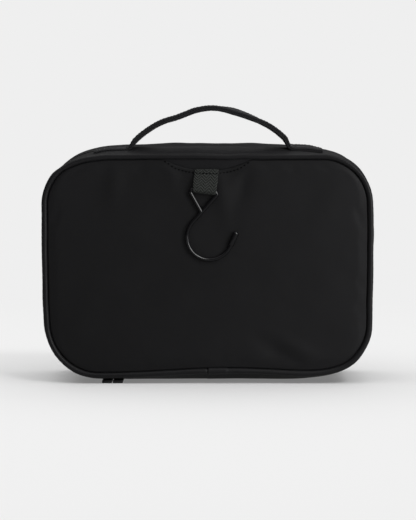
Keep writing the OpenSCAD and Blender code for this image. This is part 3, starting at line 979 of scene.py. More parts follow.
sleeveSections = pipingSections()
cordTurns = np.radians(np.arange(0, 360, 30))
cordSection = [(-2.4 + 1.45 * math.cos(t), 0.8 + 1.45 * math.sin(t)) for t in cordTurns]
bindingSection = roundBar(1.5, 3.2) + np.array([-2.4, 7.4])
for side, half, body in ((back, "back", "back_half"), (front, "front", "front_half")):
    tube = sweep(half + "PipingSleeve", sleeveSections, side)
    finish(tube, "pipingCloth", body)
    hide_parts(half + "_piping")
    filler = sweep(half + "PipingCord", constantSection(cordSection), side)
    finish(filler, "fillerCord", body)
    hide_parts(half + "_piping_cord")
    edging = sweep(half + "SeamBinding", constantSection(bindingSection), side)
    finish(edging, "bindingTape", body)
    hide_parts(half + "_binding")
print("piping made")


# gussets
gusset = {"startU": -1.75, "startV": 2.6, "crestV": 26.0, "foldLength": 5.0, "edgeLift": 0.95}
pullerDent = {"low": -106.5, "high": -70.0, "roof": 2.5}  # room over the pulls under the bag


def gussetLine(crest, tape, edgeV):
    startU, startV, crestV = gusset["startU"], gusset["startV"], gusset["crestV"]
    t = np.linspace(0, math.pi / 2, 17)
    riseU = startU + (crest - startU) * np.sin(t)
    rise = np.stack([riseU, startV + (crestV - startV) * (1 - np.cos(t))], axis=1)
    flatV = np.linspace(crestV, edgeV - gusset["foldLength"], 5)[1:4]
    plateau = np.stack([np.full(3, crest), flatV], axis=1)
    drop = crest - tape - gusset["edgeLift"]
    f = np.linspace(0, 1, 8)
    fold = np.stack([crest - drop * smoothStep(f, 0, 1), edgeV - gusset["foldLength"] * (1 - f)], axis=1)
    return np.vstack([rise, plateau, fold])


def gussetSections(side, crest, seed):
    edgeV = abs((backY if side == back else frontY) - zipY) - 0.3 - 7.0
    sections = []
    wave = ripple(ring["s"], ring["s"] * 0, seed, 60)
    for i, s in enumerate(ring["s"]):
        line = gussetLine(crest[i], tapeLevel[i], edgeV)
        free = np.clip((line[:, 1] - gusset["startV"]) / 8, 0, 1)  # nothing moves at the two seams
        free *= np.clip((edgeV - line[:, 1]) / 6, 0, 1)
        bottomHere = ring["nz"][i] < -0.85
        flutter = 0.35 * math.sin(s / 11.0 + seed) * np.sin(line[:, 1] / 5) + 0.5 * wave[i]
        pucker = 0.16 * math.sin(2 * math.pi * s / 6.4 + 3 * wave[i])
        pucker = pucker * np.exp(-((line[:, 1] - 4.5) / 2.2) ** 2)
        line[:, 0] += flutter * free * (0.25 if bottomHere else 1) + pucker
        if bottomHere:
            line[:, 0] = np.minimum(line[:, 0], bag["bottom"] - 0.08)
            x = ring["x"][i]
            over = smoothStep(x, pullerDent["low"] - 3, pullerDent["low"])
            over *= 1 - smoothStep(x, pullerDent["high"], pullerDent["high"] + 3)
            if side == back and over > 0:
                line[:, 0] = np.minimum(line[:, 0], bag["bottom"] - pullerDent["roof"] * over)
        sections.append(thicken(line, bag["clothThickness"]))
    return np.array(sections)


bodyGusset = sweep("bodyGussetCloth", gussetSections(back, nearCrest, 5), back)
finish(bodyGusset, "gussetCloth", "back_half")
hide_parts("body_gusset")
lidGusset = sweep("lidGussetCloth", gussetSections(front, farCrest, 6), front)
finish(lidGusset, "gussetCloth", "front_half")
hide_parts("lid_gusset")

insideSkin = {"thickness": 0.5, "gap": 1.6}
for side, name, node, body, edgeV in (
    (back, "bodyGussetLining", "body_gusset_lining", "back_half", 37.0),
    (front, "lidGussetLining", "lid_gusset_lining", "front_half", 31.0),
):
    skin = []
    for i, s in enumerate(ring["s"]):
        depths = np.linspace(6.6, edgeV, 12)
        level = min(tapeLevel[i], 0.6) - insideSkin["gap"]
        climb = smoothStep(depths, 14, edgeV - 2)  # up to the zip tape, which it is sewn to
        wave = 0.25 * np.sin(depths / 4 + s / 14) * np.sin(math.pi * (depths - 6.6) / (edgeV - 6.6))
        line = np.stack([level * (1 - climb) + (tapeLevel[i] - 1.3) * climb + wave, depths], axis=1)
        skin.append(thicken(line, insideSkin["thickness"]))
    cloth = sweep(name, np.array(skin), side)
    finish(cloth, "liningCloth", body)
    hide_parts(node)
print("gussets made")


# zip: tapes, coil, hinge cloth, end tabs
zipper = {"tapeWidth": 14.0, "tapeThickness": 0.8, "pitch": 1.5, "coilReach": 2.1}
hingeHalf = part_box("bottom_hinge")[1].x / mm
mouthV = {back: zipY - backY - 0.3, front: frontY - zipY - 0.3}
bottomGap = (ring["nz"] < -0.8) & (np.abs(ring["x"]) < hingeHalf + 0.3)


def zipTapes():
    for side, name, node, body in (
        (back, "bodyZipTape", "body_zip_tape", "back_half"),
        (front, "lidZipTape", "lid_zip_tape", "front_half"),
    ):
        half = zipper["tapeThickness"] / 2
        width = zipper["tapeWidth"] - 1.0
        section = roundBar(2 * half, width)
        rows = [section + np.array([level - half, mouthV[side] - 0.02 - width / 2]) for level in tapeLevel]
        tape = sweep(name, np.array(rows), side, keep=~bottomGap)
        finish(tape, "zipTapeWeave", body)
        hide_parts(node)


def coilTooth():  # one bent tooth of the coil as rings of six points: (along, v, u)
    rings = [(-0.1, 0.3), (0.3, 0.5), (1.2, 0.5), (1.7, 0.7), (2.05, 0.55)]
    points, faces = [], []
    for v, r in rings:
        for k in range(6):
            t = math.radians(60 * k)
            points.append((r * math.cos(t), v, r * 1.35 * math.sin(t)))
    for i in range(len(rings) - 1):
        for k in range(6):
            n = (k + 1) % 6
            faces.append((6 * i + k, 6 * i + n, 6 * i + 6 + n, 6 * i + 6 + k))
    faces.append(tuple(range(5, -1, -1)))
    faces.append(tuple(6 * (len(rings) - 1) + k for k in range(6)))
    return np.array(points), faces


def coil(name, side, node, body, offset):
    base, faces = coilTooth()
    start = hingeHalf + 3.0
    places = np.arange(start + offset, ring["total"] - start, zipper["pitch"])
    x, z = atStation(places, ring["x"]), atStation(places, ring["z"])
    nx, nz = atStation(places, ring["nx"]), atStation(places, ring["nz"])
    level = atStation(places, tapeLevel) - zipper["tapeThickness"] / 2
    size = np.hypot(nx, nz)
    nx, nz = nx / size, nz / size
    along = base[:, 0][None]
    u = level[:, None] + base[:, 2][None]
    v = mouthV[side] - zipper["coilReach"] + base[:, 1][None] + 0.33
    px = x[:, None] - nz[:, None] * along + nx[:, None] * u
    pz = z[:, None] + nx[:, None] * along + nz[:, None] * u
    co = np.stack([px, np.broadcast_to(depthY(v, side), px.shape), pz], axis=2).reshape(-1, 3)
    allFaces = [tuple(i * len(base) + k for k in f) for i in range(len(places)) for f in faces]
    obj = faceOutwards(newPiece(name, slump(co), allFaces))
    finish(obj, "nylonCoil", body)
    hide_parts(node)


def hingeCloth():
    low = bag["bottom"] - 0.2
    first, last = backY + mouthV[back] - 13.0, frontY - mouthV[front] + 13.0
    columns, rows = 54, 20
    across = np.linspace(-hingeHalf + 0.1, hingeHalf - 0.1, columns + 1)
    x, y = np.meshgrid(across, np.linspace(first, last, rows + 1))
    arch = 0.5 * np.exp(-(((y - zipY) / 5) ** 2)) + 0.12 * ripple(x, y, 51, 25)
    under = np.stack([x, y, low + arch], axis=2).reshape(-1, 3)
    above = under + np.array([0, 0, 0.75])
    n = len(under)
    faces = []
    for i in range(rows):
        for j in range(columns):
            a = i * (columns + 1) + j
            quad = (a, a + 1, a + columns + 2, a + columns + 1)
            faces += [quad, tuple(n + k for k in reversed(quad))]
    edge = rim(rows, columns)
    faces += [(b, a, n + a, n + b) for a, b in zip(edge, edge[1:] + edge[:1])]
    obj = faceOutwards(newPiece("bottomHingeCloth", np.vstack([under, above]), faces))
    finish(obj, "gussetCloth")
    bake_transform(obj)
    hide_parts("bottom_hinge")
    under = ["bodyGussetCloth", "lidGussetCloth"]


def softBlock(name, low, high, bevel, segments=3):  # a block with rounded edges, modelled from a cube
    bpy.ops.object.select_all(action="DESELECT")
    middle = [(a + b) / 2 * mm for a, b in zip(low, high)]
    bpy.ops.mesh.primitive_cube_add(size=1, location=middle)
    obj = bpy.context.object
    obj.name = name
    obj.scale = [(b - a) * mm for a, b in zip(low, high)]
    bpy.ops.object.transform_apply(location=True, rotation=True, scale=True)
    if bevel:
        rounding = obj.modifiers.new("rounding", "BEVEL")
        rounding.width = bevel * mm
        rounding.segments = segments
        rounding.limit_method = "ANGLE"
        bpy.ops.object.modifier_apply(modifier="rounding")
    bpy.ops.object.shade_smooth_by_angle(angle=math.radians(50))
    return obj


def joinPieces(name, parts):
    bpy.ops.object.select_all(action="DESELECT")
    for part in parts:
        part.select_set(True)
    bpy.context.view_layer.objects.active = parts[0]
    if len(parts) > 1:
        bpy.ops.object.join()
    obj = bpy.context.object
    obj.name = name
    obj.select_set(False)
    return obj


def zipEndTabs():
    low, high = (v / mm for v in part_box("zip_end_tabs"))
    parts = []
    for side in (-1, 1):
        x = side * hingeHalf
        parts.append(softBlock("tab", (x - 4, low.y, low.z), (x + 4, high.y, high.z), 0.35))
    obj = joinPieces("zipEndTabs", parts)
    finish(obj, "zipTapeWeave", "back_half")
    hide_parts("zip_end_tabs")


zipTapes()
coil("bodyZipCoil", back, "body_zip_teeth", "back_half", 0)
coil("lidZipCoil", front, "lid_zip_teeth", "front_half", zipper["pitch"] / 2)
hingeCloth()
zipEndTabs()
print("zip made")


# mesh pockets with elastic tops
pocket = {"u": -3.0, "height": 104, "gather": 1.3, "elastic": 8.0, "reach": 137.0}
pocketTop = bag["bottom"] + pocket["height"]
for side, half, body in ((back, "body", "back_half"), (front, "lid", "front_half")):
    plane = mouthV[side] - 7.0
    seedHere = 60 + side

    def gathers(x, z, plane=plane, seedHere=seedHere):
        rise = smoothStep(z, 30, pocketTop)
        shrink = 1 - smoothStep(np.abs(x), 110, 134)
        folds = pocket["gather"] * rise * np.sin(x * 2 * math.pi / 8.5 + 2.2 * ripple(x, z, seedHere, 50))
        folds = folds + 0.8 * ripple(x, z, seedHere + 5, 60)
        return plane + 0.2 + shrink * folds - 0.8 * shrink * (1 - rise)

    net = sheetPiece(half + "MeshPocket", side, patch(pocket["u"], 130, 40, highZ=pocketTop), gathers, 0.5)
    finish(net, "pocketMesh", body)
    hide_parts(half + "_mesh_pocket")
    reach = pocket["reach"]
    bandRows = np.linspace(pocketTop + 0.1, pocketTop + pocket["elastic"], 7)
    a, b = np.meshgrid(np.linspace(-reach, reach, 150), bandRows)

    def bandDepth(x, z, plane=plane):
        return plane - 0.3 + 0.35 * np.sin(x * 2 * math.pi / 5.2) * (1 - smoothStep(np.abs(x), 120, 136))

    band = sheetPiece(half + "PocketElastic", side, np.stack([a, b], axis=2), bandDepth, 1.5)
    finish(band, "elasticBand", body)
    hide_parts(half + "_pocket_elastic")
print("mesh pockets made")


# handle
handle = {
    "middle": 2.0,
    "y": (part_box("handle_strap")[0].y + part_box("handle_strap")[1].y) / 2 / mm,
    "width": 21.6,
    "thickness": 4.4,
    "flat": 2.6,  # the sewn ends are pressed thin, and sink into the soft top
    "flatRight": 3.5,
    "sunk": 0.7,
    "sewn": 30.0,
    "outer": 99.0,  # from the handle's middle to the end of the webbing
    "arch": [
        (-61.5, 205.6), (-56.4, 210.2), (-49.2, 215.4), (-42.3, 219.5), (-35.3, 222.5), (-27.0, 224.9),
        (-18.4, 228.1), (-10.0, 231.2), (2.0, 233.1), (13.0, 232.2), (24.0, 229.7), (37.0, 225.0),
        (50.0, 219.1), (57.5, 214.4), (62.7, 210.2), (66.6, 206.4),
    ],
    "stitchRows": 8.6,  # from the strap's middle to each long row
    "stitchPitch": 3.0,
    "boxLength": 25.3,
    "tilt": [(-70, 1), (-50, 0.5), (-10, 0), (8, 1), (22, 7), (34, 5), (48, 0.5), (70, 1)],
}


def smoothLine(points, step):  # an even line through the points
    p = np.array(points, float)
    p = np.vstack([2 * p[0] - p[1], p, 2 * p[-1] - p[-2]])
    line = []
    for a, b, c, d in zip(p, p[1:], p[2:], p[3:]):
        square, cube = 2 * a - 5 * b + 4 * c - d, 3 * b - a - 3 * c + d
        for t in np.linspace(0, 1, 24, endpoint=False):
            line.append(0.5 * (2 * b + (c - a) * t + square * t**2 + cube * t**3))
    line.append(p[-2])
    line = np.array(line)
    length = np.concatenate([[0], np.cumsum(np.linalg.norm(np.diff(line, axis=0), axis=1))])
    even = np.linspace(0, length[-1], int(length[-1] / step) + 1)
    return np.stack([np.interp(even, length, line[:, k]) for k in range(line.shape[1])], axis=1)


def gussetSurface(alongX, v, lift):  # points on the near gusset, by distance from the top's middle and depth
    s = topMiddle - np.asarray(alongX, float)
    crest = atStation(s, nearCrest)
    startU, startV, crestV = gusset["startU"], gusset["startV"], gusset["crestV"]
    t = np.arccos(np.clip(1 - (np.clip(v, startV, crestV) - startV) / (crestV - startV), -1, 1))
    u = startU + (crest - startU) * np.sin(t) + lift
    nx, nz = atStation(s, ring["nx"]), atStation(s, ring["nz"])
    size = np.hypot(nx, nz)
    x = atStation(s, ring["x"]) + nx / size * u
    z = atStation(s, ring["z"]) + nz / size * u
    y = np.broadcast_to(backY + v, x.shape)
    return slump(np.stack([x.ravel(), y.ravel(), z.ravel()], axis=1)).reshape(*x.shape, 3)


def ground(x):  # height at which the sewn strap's middle lies on the gusset
    rest = handle["flat"] / 2 - handle["sunk"]
    return gussetSurface(np.array([x]), np.array([handle["y"] - backY]), rest)[0, 2]


def strapLine():
    middle, outer, inner = handle["middle"], handle["outer"], handle["outer"] - handle["sewn"]
    leftEnd = [(x, ground(x)) for x in middle - outer + np.arange(0, handle["sewn"] - 1, 4.0)]
    rightEnd = [(x, ground(x)) for x in middle + inner + np.arange(3, handle["sewn"] + 1, 4.0)]
    leftBend = [(-66.0, ground(-66.0) + 1.6)]
    rightBend = [(69.5, ground(70) + 2.0)]
    return smoothLine(leftEnd + leftBend + handle["arch"] + rightBend + rightEnd, 1.3)


def strapSection():
    half, thick = handle["width"] / 2, handle["thickness"] / 2
    top = []
    for a in np.linspace(-half + 0.9, half - 0.9, 13):
        top.append((a, thick - 0.3 * math.exp(-(((abs(a) - 8.6) / 0.8) ** 2))))
    # the two layers show at the edge
    side = [(half - 0.3, thick * 0.72), (half, thick * 0.4), (half - 0.55, 0.0)]
    side += [(half, -thick * 0.4), (half - 0.3, -thick * 0.72)]
    bottom = [(a, -b) for a, b in top[::-1]]
    otherSide = [(-a, -b) for a, b in side]
    return np.array(top + side + bottom + otherSide)


strapPath = strapLine()
direction = np.gradient(strapPath, axis=0)
direction /= np.linalg.norm(direction, axis=1)[:, None]
strapLength = np.concatenate([[0], np.cumsum(np.linalg.norm(np.diff(strapPath, axis=0), axis=1))])
strapTilt = np.radians(np.interp(strapPath[:, 0], *zip(*handle["tilt"])))
sewnShare = smoothStep(np.abs(strapPath[:, 0] - handle["middle"]), 63.0, 72.0)


def onStrap(index, a, b):  # a point of the strap: station, distance across, distance out of its middle
    x, z = strapPath[index, 0], strapPath[index, 1]
    nx, nz = -direction[index, 1], direction[index, 0]
    out = b + a * np.sin(strapTilt[index])
    y = handle["y"] + a * np.cos(strapTilt[index]) + 0 * x
    free = np.stack([x + nx * out, y, z + nz * out], axis=-1)
    proud = np.where(x > 0, handle["flatRight"], handle["flat"])
    lift = proud * (0.5 + b / handle["thickness"]) - handle["sunk"]
    sewn = gussetSurface(x, handle["y"] + a - backY, lift)
    share = sewnShare[index][..., None]
    return free * (1 - share) + sewn * share


def handleStrap():
    section = strapSection()
    count, points = len(strapPath), len(section)
    index = np.repeat(np.arange(count), points)
    a, b = np.tile(section[:, 0], count), np.tile(section[:, 1], count)
    a = a * (1 + 0.012 * ripple(strapLength[index], 0 * a, 71, 20))
    co = onStrap(index, a, b)
    faces, uvs = [], []
    around = lengthRound(section)
    for i in range(count - 1):
        for k in range(points):
            n = (k + 1) % points
            faces.append((i * points + k, (i + 1) * points + k, (i + 1) * points + n, i * points + n))
            here, ahead = strapLength[i], strapLength[i + 1]
            uvs += [(here, around[k]), (ahead, around[k]), (ahead, around[k + 1]), (here, around[k + 1])]
    for end in (0, count - 1):
        faces.append([end * points + k for k in range(points)])
        uvs += [(section[k, 1], section[k, 0]) for k in range(points)]
    obj = faceOutwards(newPiece("handleStrap", co, faces, uvs))
    obj.data.set_sharp_from_angle(angle=math.radians(60))
    finish(obj, "handleWebbing")
    return obj


def stitches(name, centres, ways, outs, material, length=2.1, radius=0.26):
    # small capsules of thread whose ends dip into the cloth
    rings = [(-0.5, 0.35, -0.35), (-0.32, 0.95, 0.0), (0.0, 1.0, 0.12), (0.32, 0.95, 0.0), (0.5, 0.35, -0.35)]
    co, faces = [], []
    for centre, way, out in zip(centres, ways, outs):
        way = way / np.linalg.norm(way)
        out = out - way * (out @ way)
        out /= np.linalg.norm(out)
        across = np.cross(way, out)
        first = len(co)
        for along, size, rise in rings:
            for k in range(6):
                t = math.radians(60 * k + 30)
                up = rise * radius * 2 + radius * size * math.sin(t)
                aside = radius * 1.15 * size * math.cos(t)
                co.append(centre + way * along * length + out * up + across * aside)
        for i in range(len(rings) - 1):
            for k in range(6):
                n = (k + 1) % 6
                low = first + 6 * i
                faces.append((low + k, low + n, low + 6 + n, low + 6 + k))
        faces.append(tuple(first + k for k in range(5, -1, -1)))
        faces.append(tuple(first + 24 + k for k in range(6)))
    obj = faceOutwards(newPiece(name, np.array(co), faces))
    return finish(obj, material)


def handleStitches():
    centres, ways, outs = [], [], []
    top = handle["thickness"] / 2
    rows = handle["stitchRows"]
    box = handle["boxLength"]

    def add(length, a, b, along=True):
        index = int(np.argmin(np.abs(strapLength - length)))
        index = min(max(index, 1), len(strapPath) - 2)
        here = onStrap(np.array([index]), np.array([a]), np.array([b]))[0]
        ahead = onStrap(np.array([index + 1]), np.array([a]), np.array([b]))[0]
        aside = onStrap(np.array([index]), np.array([a + 1.0]), np.array([b]))[0]
        above = onStrap(np.array([index]), np.array([a]), np.array([b + 1.0]))[0]
        centres.append(here)
        ways.append(ahead - here if along else aside - here)
        outs.append(above - here)

    for a in (-rows, rows):
        for length in np.arange(2.5, strapLength[-1] - 2, handle["stitchPitch"]):
            for side in (1, -1):
                add(length, a, side * (top - 0.1))
    for start in (2.2, strapLength[-1] - 2.2 - box):  # boxes that hold the sewn ends
        for edge in (start, start + box):
            for a in np.arange(-7.2, 7.3, 2.4):
                add(edge, a, top + 0.05, along=False)
    obj = stitches("handleStitches", centres, ways, outs, "sewingThread")
    return obj


strap = handleStrap()
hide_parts("handle_strap", "handle_end_left", "handle_end_right")
strapThread = handleStitches()
for obj in (strap, strapThread):
    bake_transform(obj)
print("handle made")


# hook tab, mouth stitching
tab = {
    "x": -0.7,
    "width": 20.2,
    "thickness": 1.15,
    "loop": 2.25,  # radius of the loop round the hook's bar
    "barY": backY - 3.35,
    "barZ": 163.5,
    "top": 181.2,
    "foldZ": 177.5,
    "lean": 5.8,
}


def tabPath():
    y0, z0, r = tab["barY"], tab["barZ"], tab["loop"]
    fold = tab["foldZ"]
    outerLayer = [(backY - 0.55, tab["top"]), (backY - 1.75, fold + 1.2), (backY - 2.75, fold - 2.5)]
    outerLayer += [(backY - 4.2, z0 + 6.5), (y0 - r * 0.93, z0 + 2.2)]
    turn = [(y0 - r * math.cos(t), z0 - r * math.sin(t)) for t in np.radians(range(0, 181, 30))]
    innerLayer = [(y0 + r, z0 + 2.6), (backY - 1.25, z0 + 7)]
    innerLayer += [(backY - 1.0, fold - 3), (backY - 0.8, fold + 0.5)]
    return smoothLine(outerLayer + turn + innerLayer, 0.5)


def hookTab():
    path = tabPath()
    d = np.gradient(path, axis=0)
    d /= np.linalg.norm(d, axis=1)[:, None]
    n = np.stack([-d[:, 1], d[:, 0]], axis=1)
    length = np.concatenate([[0], np.cumsum(np.linalg.norm(np.diff(path, axis=0), axis=1))])
    half, t = tab["width"] / 2, tab["thickness"] / 2
    run = np.linspace(-half + 0.4, half - 0.4, 11)
    section = [(a, -t) for a in run] + [(half, -t * 0.5), (half, t * 0.5)]
    section += [(-a, t) for a in run] + [(-half, t * 0.5), (-half, -t * 0.5)]
    co, faces, uvs = [], [], []
    lean = math.tan(math.radians(tab["lean"]))
    for i, (y, z) in enumerate(path):
        pinch = 1 - 0.05 * math.exp(-(((z - tab["barZ"] + 1) / 3.5) ** 2))
        for a, b in section:
            x = tab["x"] + a * pinch + (z - tab["top"]) * lean
            skew = -(a * 0.12) * float(smoothStep(tab["top"] - z, 2, 18))  # pulled by the hanging hook
            wave = 0.12 * math.sin(a / 2.1 + z / 3.0)
            co.append((x, y + n[i, 0] * (b + wave * 0.5), z + n[i, 1] * b + skew))
    points = len(section)
    edge = [a for a, b in section] + [section[0][0]]
    for i in range(len(path) - 1):
        for k in range(points):
            m = (k + 1) % points
            faces.append((i * points + k, (i + 1) * points + k, (i + 1) * points + m, i * points + m))
            here, ahead = length[i], length[i + 1]
            uvs += [(here, edge[k]), (ahead, edge[k]), (ahead, edge[k + 1]), (here, edge[k + 1])]
    for end in (0, len(path) - 1):
        faces.append([end * points + k for k in range(points)])
        uvs += [(0, section[k][0]) for k in range(points)]
    obj = faceOutwards(newPiece("hookTabWebbing", np.array(co), faces, uvs))
    obj.data.set_sharp_from_angle(angle=math.radians(60))
    finish(obj, "tabWebbing")
    return obj


def mouthStitching():
    centres, ways, outs = [], [], []
    tabLeft, tabRight = tab["x"] - tab["width"] / 2, tab["x"] + tab["width"] / 2
    for x in np.arange(-35.5, 36.0, 2.9):
        z, z1 = (float(mouthArc(a)) - 2.3 + 2.1 * float(smoothStep(abs(a), 26, 36)) for a in (x, x + 0.5))
        if tabLeft < x < tabRight:
            continue
        y = backY - 0.12 - float(panelBulge(np.array(x), np.array(z)))
        place = slump([(x, y, z)])[0]
        centres.append(place)
        ways.append(np.array([0.5, 0, z1 - z]))
        outs.append(np.array([0.0, -1.0, 0.25]))
    # the near-black thread also paints the shade of the needle holes below the folded edge
    return stitches("mouthStitching", centres, ways, outs, "darkThreadAndHoleShade", length=1.8, radius=0.46)


def tabStitching():  # the row that holds the tab
    places = np.arange(-8.4, 8.5, 2.8)
    centres = [np.array([tab["x"] + a, backY - 2.65, 178.0 - 0.03 * a]) for a in places]
    ways = [np.array([1.0, 0, -0.03])] * len(places)
    outs = [np.array([0.0, -1.0, 0.3])] * len(places)
    # the near-black thread also paints the shade of the needle holes
    return stitches("tabStitching", centres, ways, outs, "darkThreadAndHoleShade", length=1.9, radius=0.42)


tabWebbing = hookTab()
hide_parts("hook_tab_end", "hook_tab")
tabThread = tabStitching()
for obj in (tabWebbing, tabThread):
    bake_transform(obj)
mouthThread = mouthStitching()
finish(mouthThread, "darkThreadAndHoleShade", "back_half")
print("hook tab made")


# wire hook and its sleeve
hook = {
    "wire": 1.6,  # radius
    "sides": 16,
    "tilt": 6.0,
    "place": (0.0, sum(corner.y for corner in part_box("hook_wire")) / 2 / mm, 163.5),  # middle of the bar
    "legEnd": (-3.0, -18.6),
    "barLeft": (-16.2, 0.0),
    "barRight": (10.3, 0.0),
    "shankFoot": (-9.75, -27.85),
    "bendMiddle": (5.81, -38.75),
    "bendTurn": 197.0,
    "tipFoot": (23.88, -44.62),
    "tipWay": (0.309, 0.951),
    "tipStraight": 13.4,
    "corner": 2.4,
    "sleeveRadius": 2.4,
    "sleeveLength": 12.5,
}


def hookPoint(x, z):  # a point of the hook, in its own plane, placed where it hangs
    c, s = math.cos(math.radians(hook["tilt"])), math.sin(math.radians(hook["tilt"]))
    px, py, pz = hook["place"]
    return Vector(((px + x * c + z * s) * mm, py * mm, (pz - x * s + z * c) * mm))


def editOnly(obj):
    bpy.ops.object.select_all(action="DESELECT")
    bpy.context.view_layer.objects.active = obj
    obj.select_set(True)
    bpy.ops.object.mode_set(mode="EDIT")


def pullRing(step):
    bpy.ops.mesh.extrude_edges_move(TRANSFORM_OT_translate={"value": tuple(step)})


def spinRing(middle, degrees, steps):  # turns anticlockwise as the hook is seen from behind the bag
    bpy.ops.mesh.spin(steps=steps, angle=math.radians(degrees), center=tuple(middle), axis=(0, 1, 0))


def cornerAt(before, point, after):  # where a rounded corner starts, its middle and its turn
    d1, d2 = (point - before).normalized(), (after - point).normalized()
    turn = d1.angle(d2)
    start = point - d1 * hook["corner"] * mm * math.tan(turn / 2)
    side = 1 if d1.cross(d2).y < 0 else -1
    inward = Vector((-d1.z, 0, d1.x)) * side
    return start, start + inward * hook["corner"] * mm, math.degrees(turn) * side


def hookWire():
    bpy.ops.object.select_all(action="DESELECT")
    leg, left, right = (hookPoint(*hook[key]) for key in ("legEnd", "barLeft", "barRight"))
    foot, middle = hookPoint(*hook["shankFoot"]), hookPoint(*hook["bendMiddle"])
    tilt = (left - leg).to_track_quat("Z", "Y").to_euler()
    bpy.ops.mesh.primitive_circle_add(
        vertices=hook["sides"], radius=hook["wire"] * mm, fill_type="NOTHING", location=leg, rotation=tilt
    )
    obj = bpy.context.object
    obj.name = "hookWire"
    bpy.ops.object.transform_apply(location=True, rotation=True, scale=True)
    bpy.ops.object.mode_set(mode="EDIT")
    bpy.ops.mesh.select_all(action="SELECT")
    here = leg
    for before, point, after in ((leg, left, right), (left, right, foot)):
        start, turnMiddle, turn = cornerAt(before, point, after)
        pullRing(start - here)
        spinRing(turnMiddle, turn, 9)
        here = point + (after - point).normalized() * (point - start).length
    pullRing(foot - here)
    spinRing(middle, hook["bendTurn"], 40)
    tipWay = (hookPoint(*hook["tipWay"]) - hookPoint(0, 0)).normalized()
    pullRing(tipWay * (hook["tipStraight"] - 2.0) * mm)
    bpy.ops.mesh.select_all(action="SELECT")
    bpy.ops.mesh.remove_doubles(threshold=0.00001)
    bpy.ops.mesh.fill_holes(sides=0)
    bpy.ops.mesh.select_all(action="SELECT")
    bpy.ops.mesh.normals_make_consistent(inside=False)
    bpy.ops.object.mode_set(mode="OBJECT")
    bpy.ops.object.shade_smooth_by_angle(angle=math.radians(50))
    return obj


def roundEdges(obj, chooser, width, segments):  # bevels the edges that chooser picks by their middle
    editOnly(obj)
    bpy.ops.mesh.select_all(action="DESELECT")
    bpy.ops.mesh.select_mode(type="EDGE")
    work = bmesh.from_edit_mesh(obj.data)
    for edge in work.edges:
        edge.select = bool(chooser((edge.verts[0].co + edge.verts[1].co) / 2, edge))
    work.select_flush(True)
    bmesh.update_edit_mesh(obj.data)
    bpy.ops.mesh.bevel(offset=width * mm, segments=segments, affect="EDGES")
    bpy.ops.object.mode_set(mode="OBJECT")


def riseOf(edge):
    return abs(edge.verts[0].co.z - edge.verts[1].co.z)


def hookSleeve():
    way = (hookPoint(*hook["tipWay"]) - hookPoint(0, 0)).normalized()
    tip = hookPoint(*hook["tipFoot"]) + way * hook["tipStraight"] * mm
    length = hook["sleeveLength"] * mm
    bpy.ops.object.select_all(action="DESELECT")
    bpy.ops.mesh.primitive_cylinder_add(vertices=28, radius=hook["sleeveRadius"] * mm, depth=length)
    obj = bpy.context.object
    obj.name = "hookSleeve"
    half = length / 2
    roundEdges(obj, lambda at, edge: riseOf(edge) < 1e-6 and at.z > half - 1e-5, 1.5, 6)
    roundEdges(obj, lambda at, edge: riseOf(edge) < 1e-6 and at.z < -half + 1e-5, 0.3, 2)
    obj.rotation_euler = way.to_track_quat("Z", "Y").to_euler()
    obj.location = tip - way * half
    obj.select_set(True)
    bpy.ops.object.transform_apply(location=True, rotation=True, scale=True)
    bpy.ops.object.shade_smooth_by_angle(angle=math.radians(50))
    return obj


wireHook = hookWire()
finish(wireHook, "blackWire", "hook")
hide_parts("hook_wire")
sleeve = hookSleeve()
finish(sleeve, "tipSleeve", "hook")
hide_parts("hook_cap")
print("hook made")


# zip sliders and their pulls
slider = {"length": 9.0, "width": 8.6, "plate": 1.2, "pinRadius": 0.5, "ear": 1.0, "nose": 2.0}
pull = {"width": 8.4, "knuckle": 6.3, "eye": 0.85, "neck": 5.0, "tip": 3.0, "recess": 0.35}


def barAcross(sides, radius, length, middle):  # a round bar that lies along x
    bpy.ops.object.select_all(action="DESELECT")
    bpy.ops.mesh.primitive_cylinder_add(
        vertices=sides, radius=radius * mm, depth=length * mm,
        location=[v * mm for v in middle], rotation=(0, math.pi / 2, 0)
    )
    bpy.ops.object.transform_apply(location=True, rotation=True, scale=True)
    return bpy.context.object


def parkedSlider(name, node):
    low, high = (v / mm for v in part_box(node))
    x, half = (low.x + high.x) / 2, slider["length"] / 2
    plate, pin = slider["plate"], low.z + 0.75
    under, roof = 2.3, high.z - plate + 0.6
    parts = []
    for z, narrow in ((under, 0.0), (roof, 0.15)):
        corner = (x - half + narrow, zipY - slider["width"] / 2, z)
        opposite = (x + half - narrow, zipY + slider["width"] / 2, z + plate)
        block = softBlock("plate", corner, opposite, 0)
        roundEdges(block, lambda at, edge: riseOf(edge) > 0.0006, 1.7, 5)
        roundEdges(block, lambda at, edge: riseOf(edge) < 1e-5 and abs(at.z - z * mm) < 2e-4, 0.28, 2)
        parts.append(block)
    corner = (x - half + 0.2, zipY + 0.35, under + plate - 0.1)
    parts.append(softBlock("nose", corner, (x - half + slider["nose"], zipY + 2.1, roof + 0.1), 0.3))
    for side in (-1, 1):
        ear = x + side * (half - slider["ear"] / 2)
        corner = (ear - 0.5, zipY - 1.0, low.z)
        parts.append(softBlock("ear", corner, (ear + 0.5, zipY + 1.0, under + 0.3), 0.32))
    bpy.ops.object.select_all(action="DESELECT")
    parts.append(barAcross(20, slider["pinRadius"], slider["length"] - 0.3, (x, zipY, pin)))
    obj = joinPieces(name, parts)
    bpy.context.view_layer.objects.active = obj
    obj.select_set(True)
    bpy.ops.object.shade_smooth_by_angle(angle=math.radians(40))
    obj.select_set(False)
    return obj


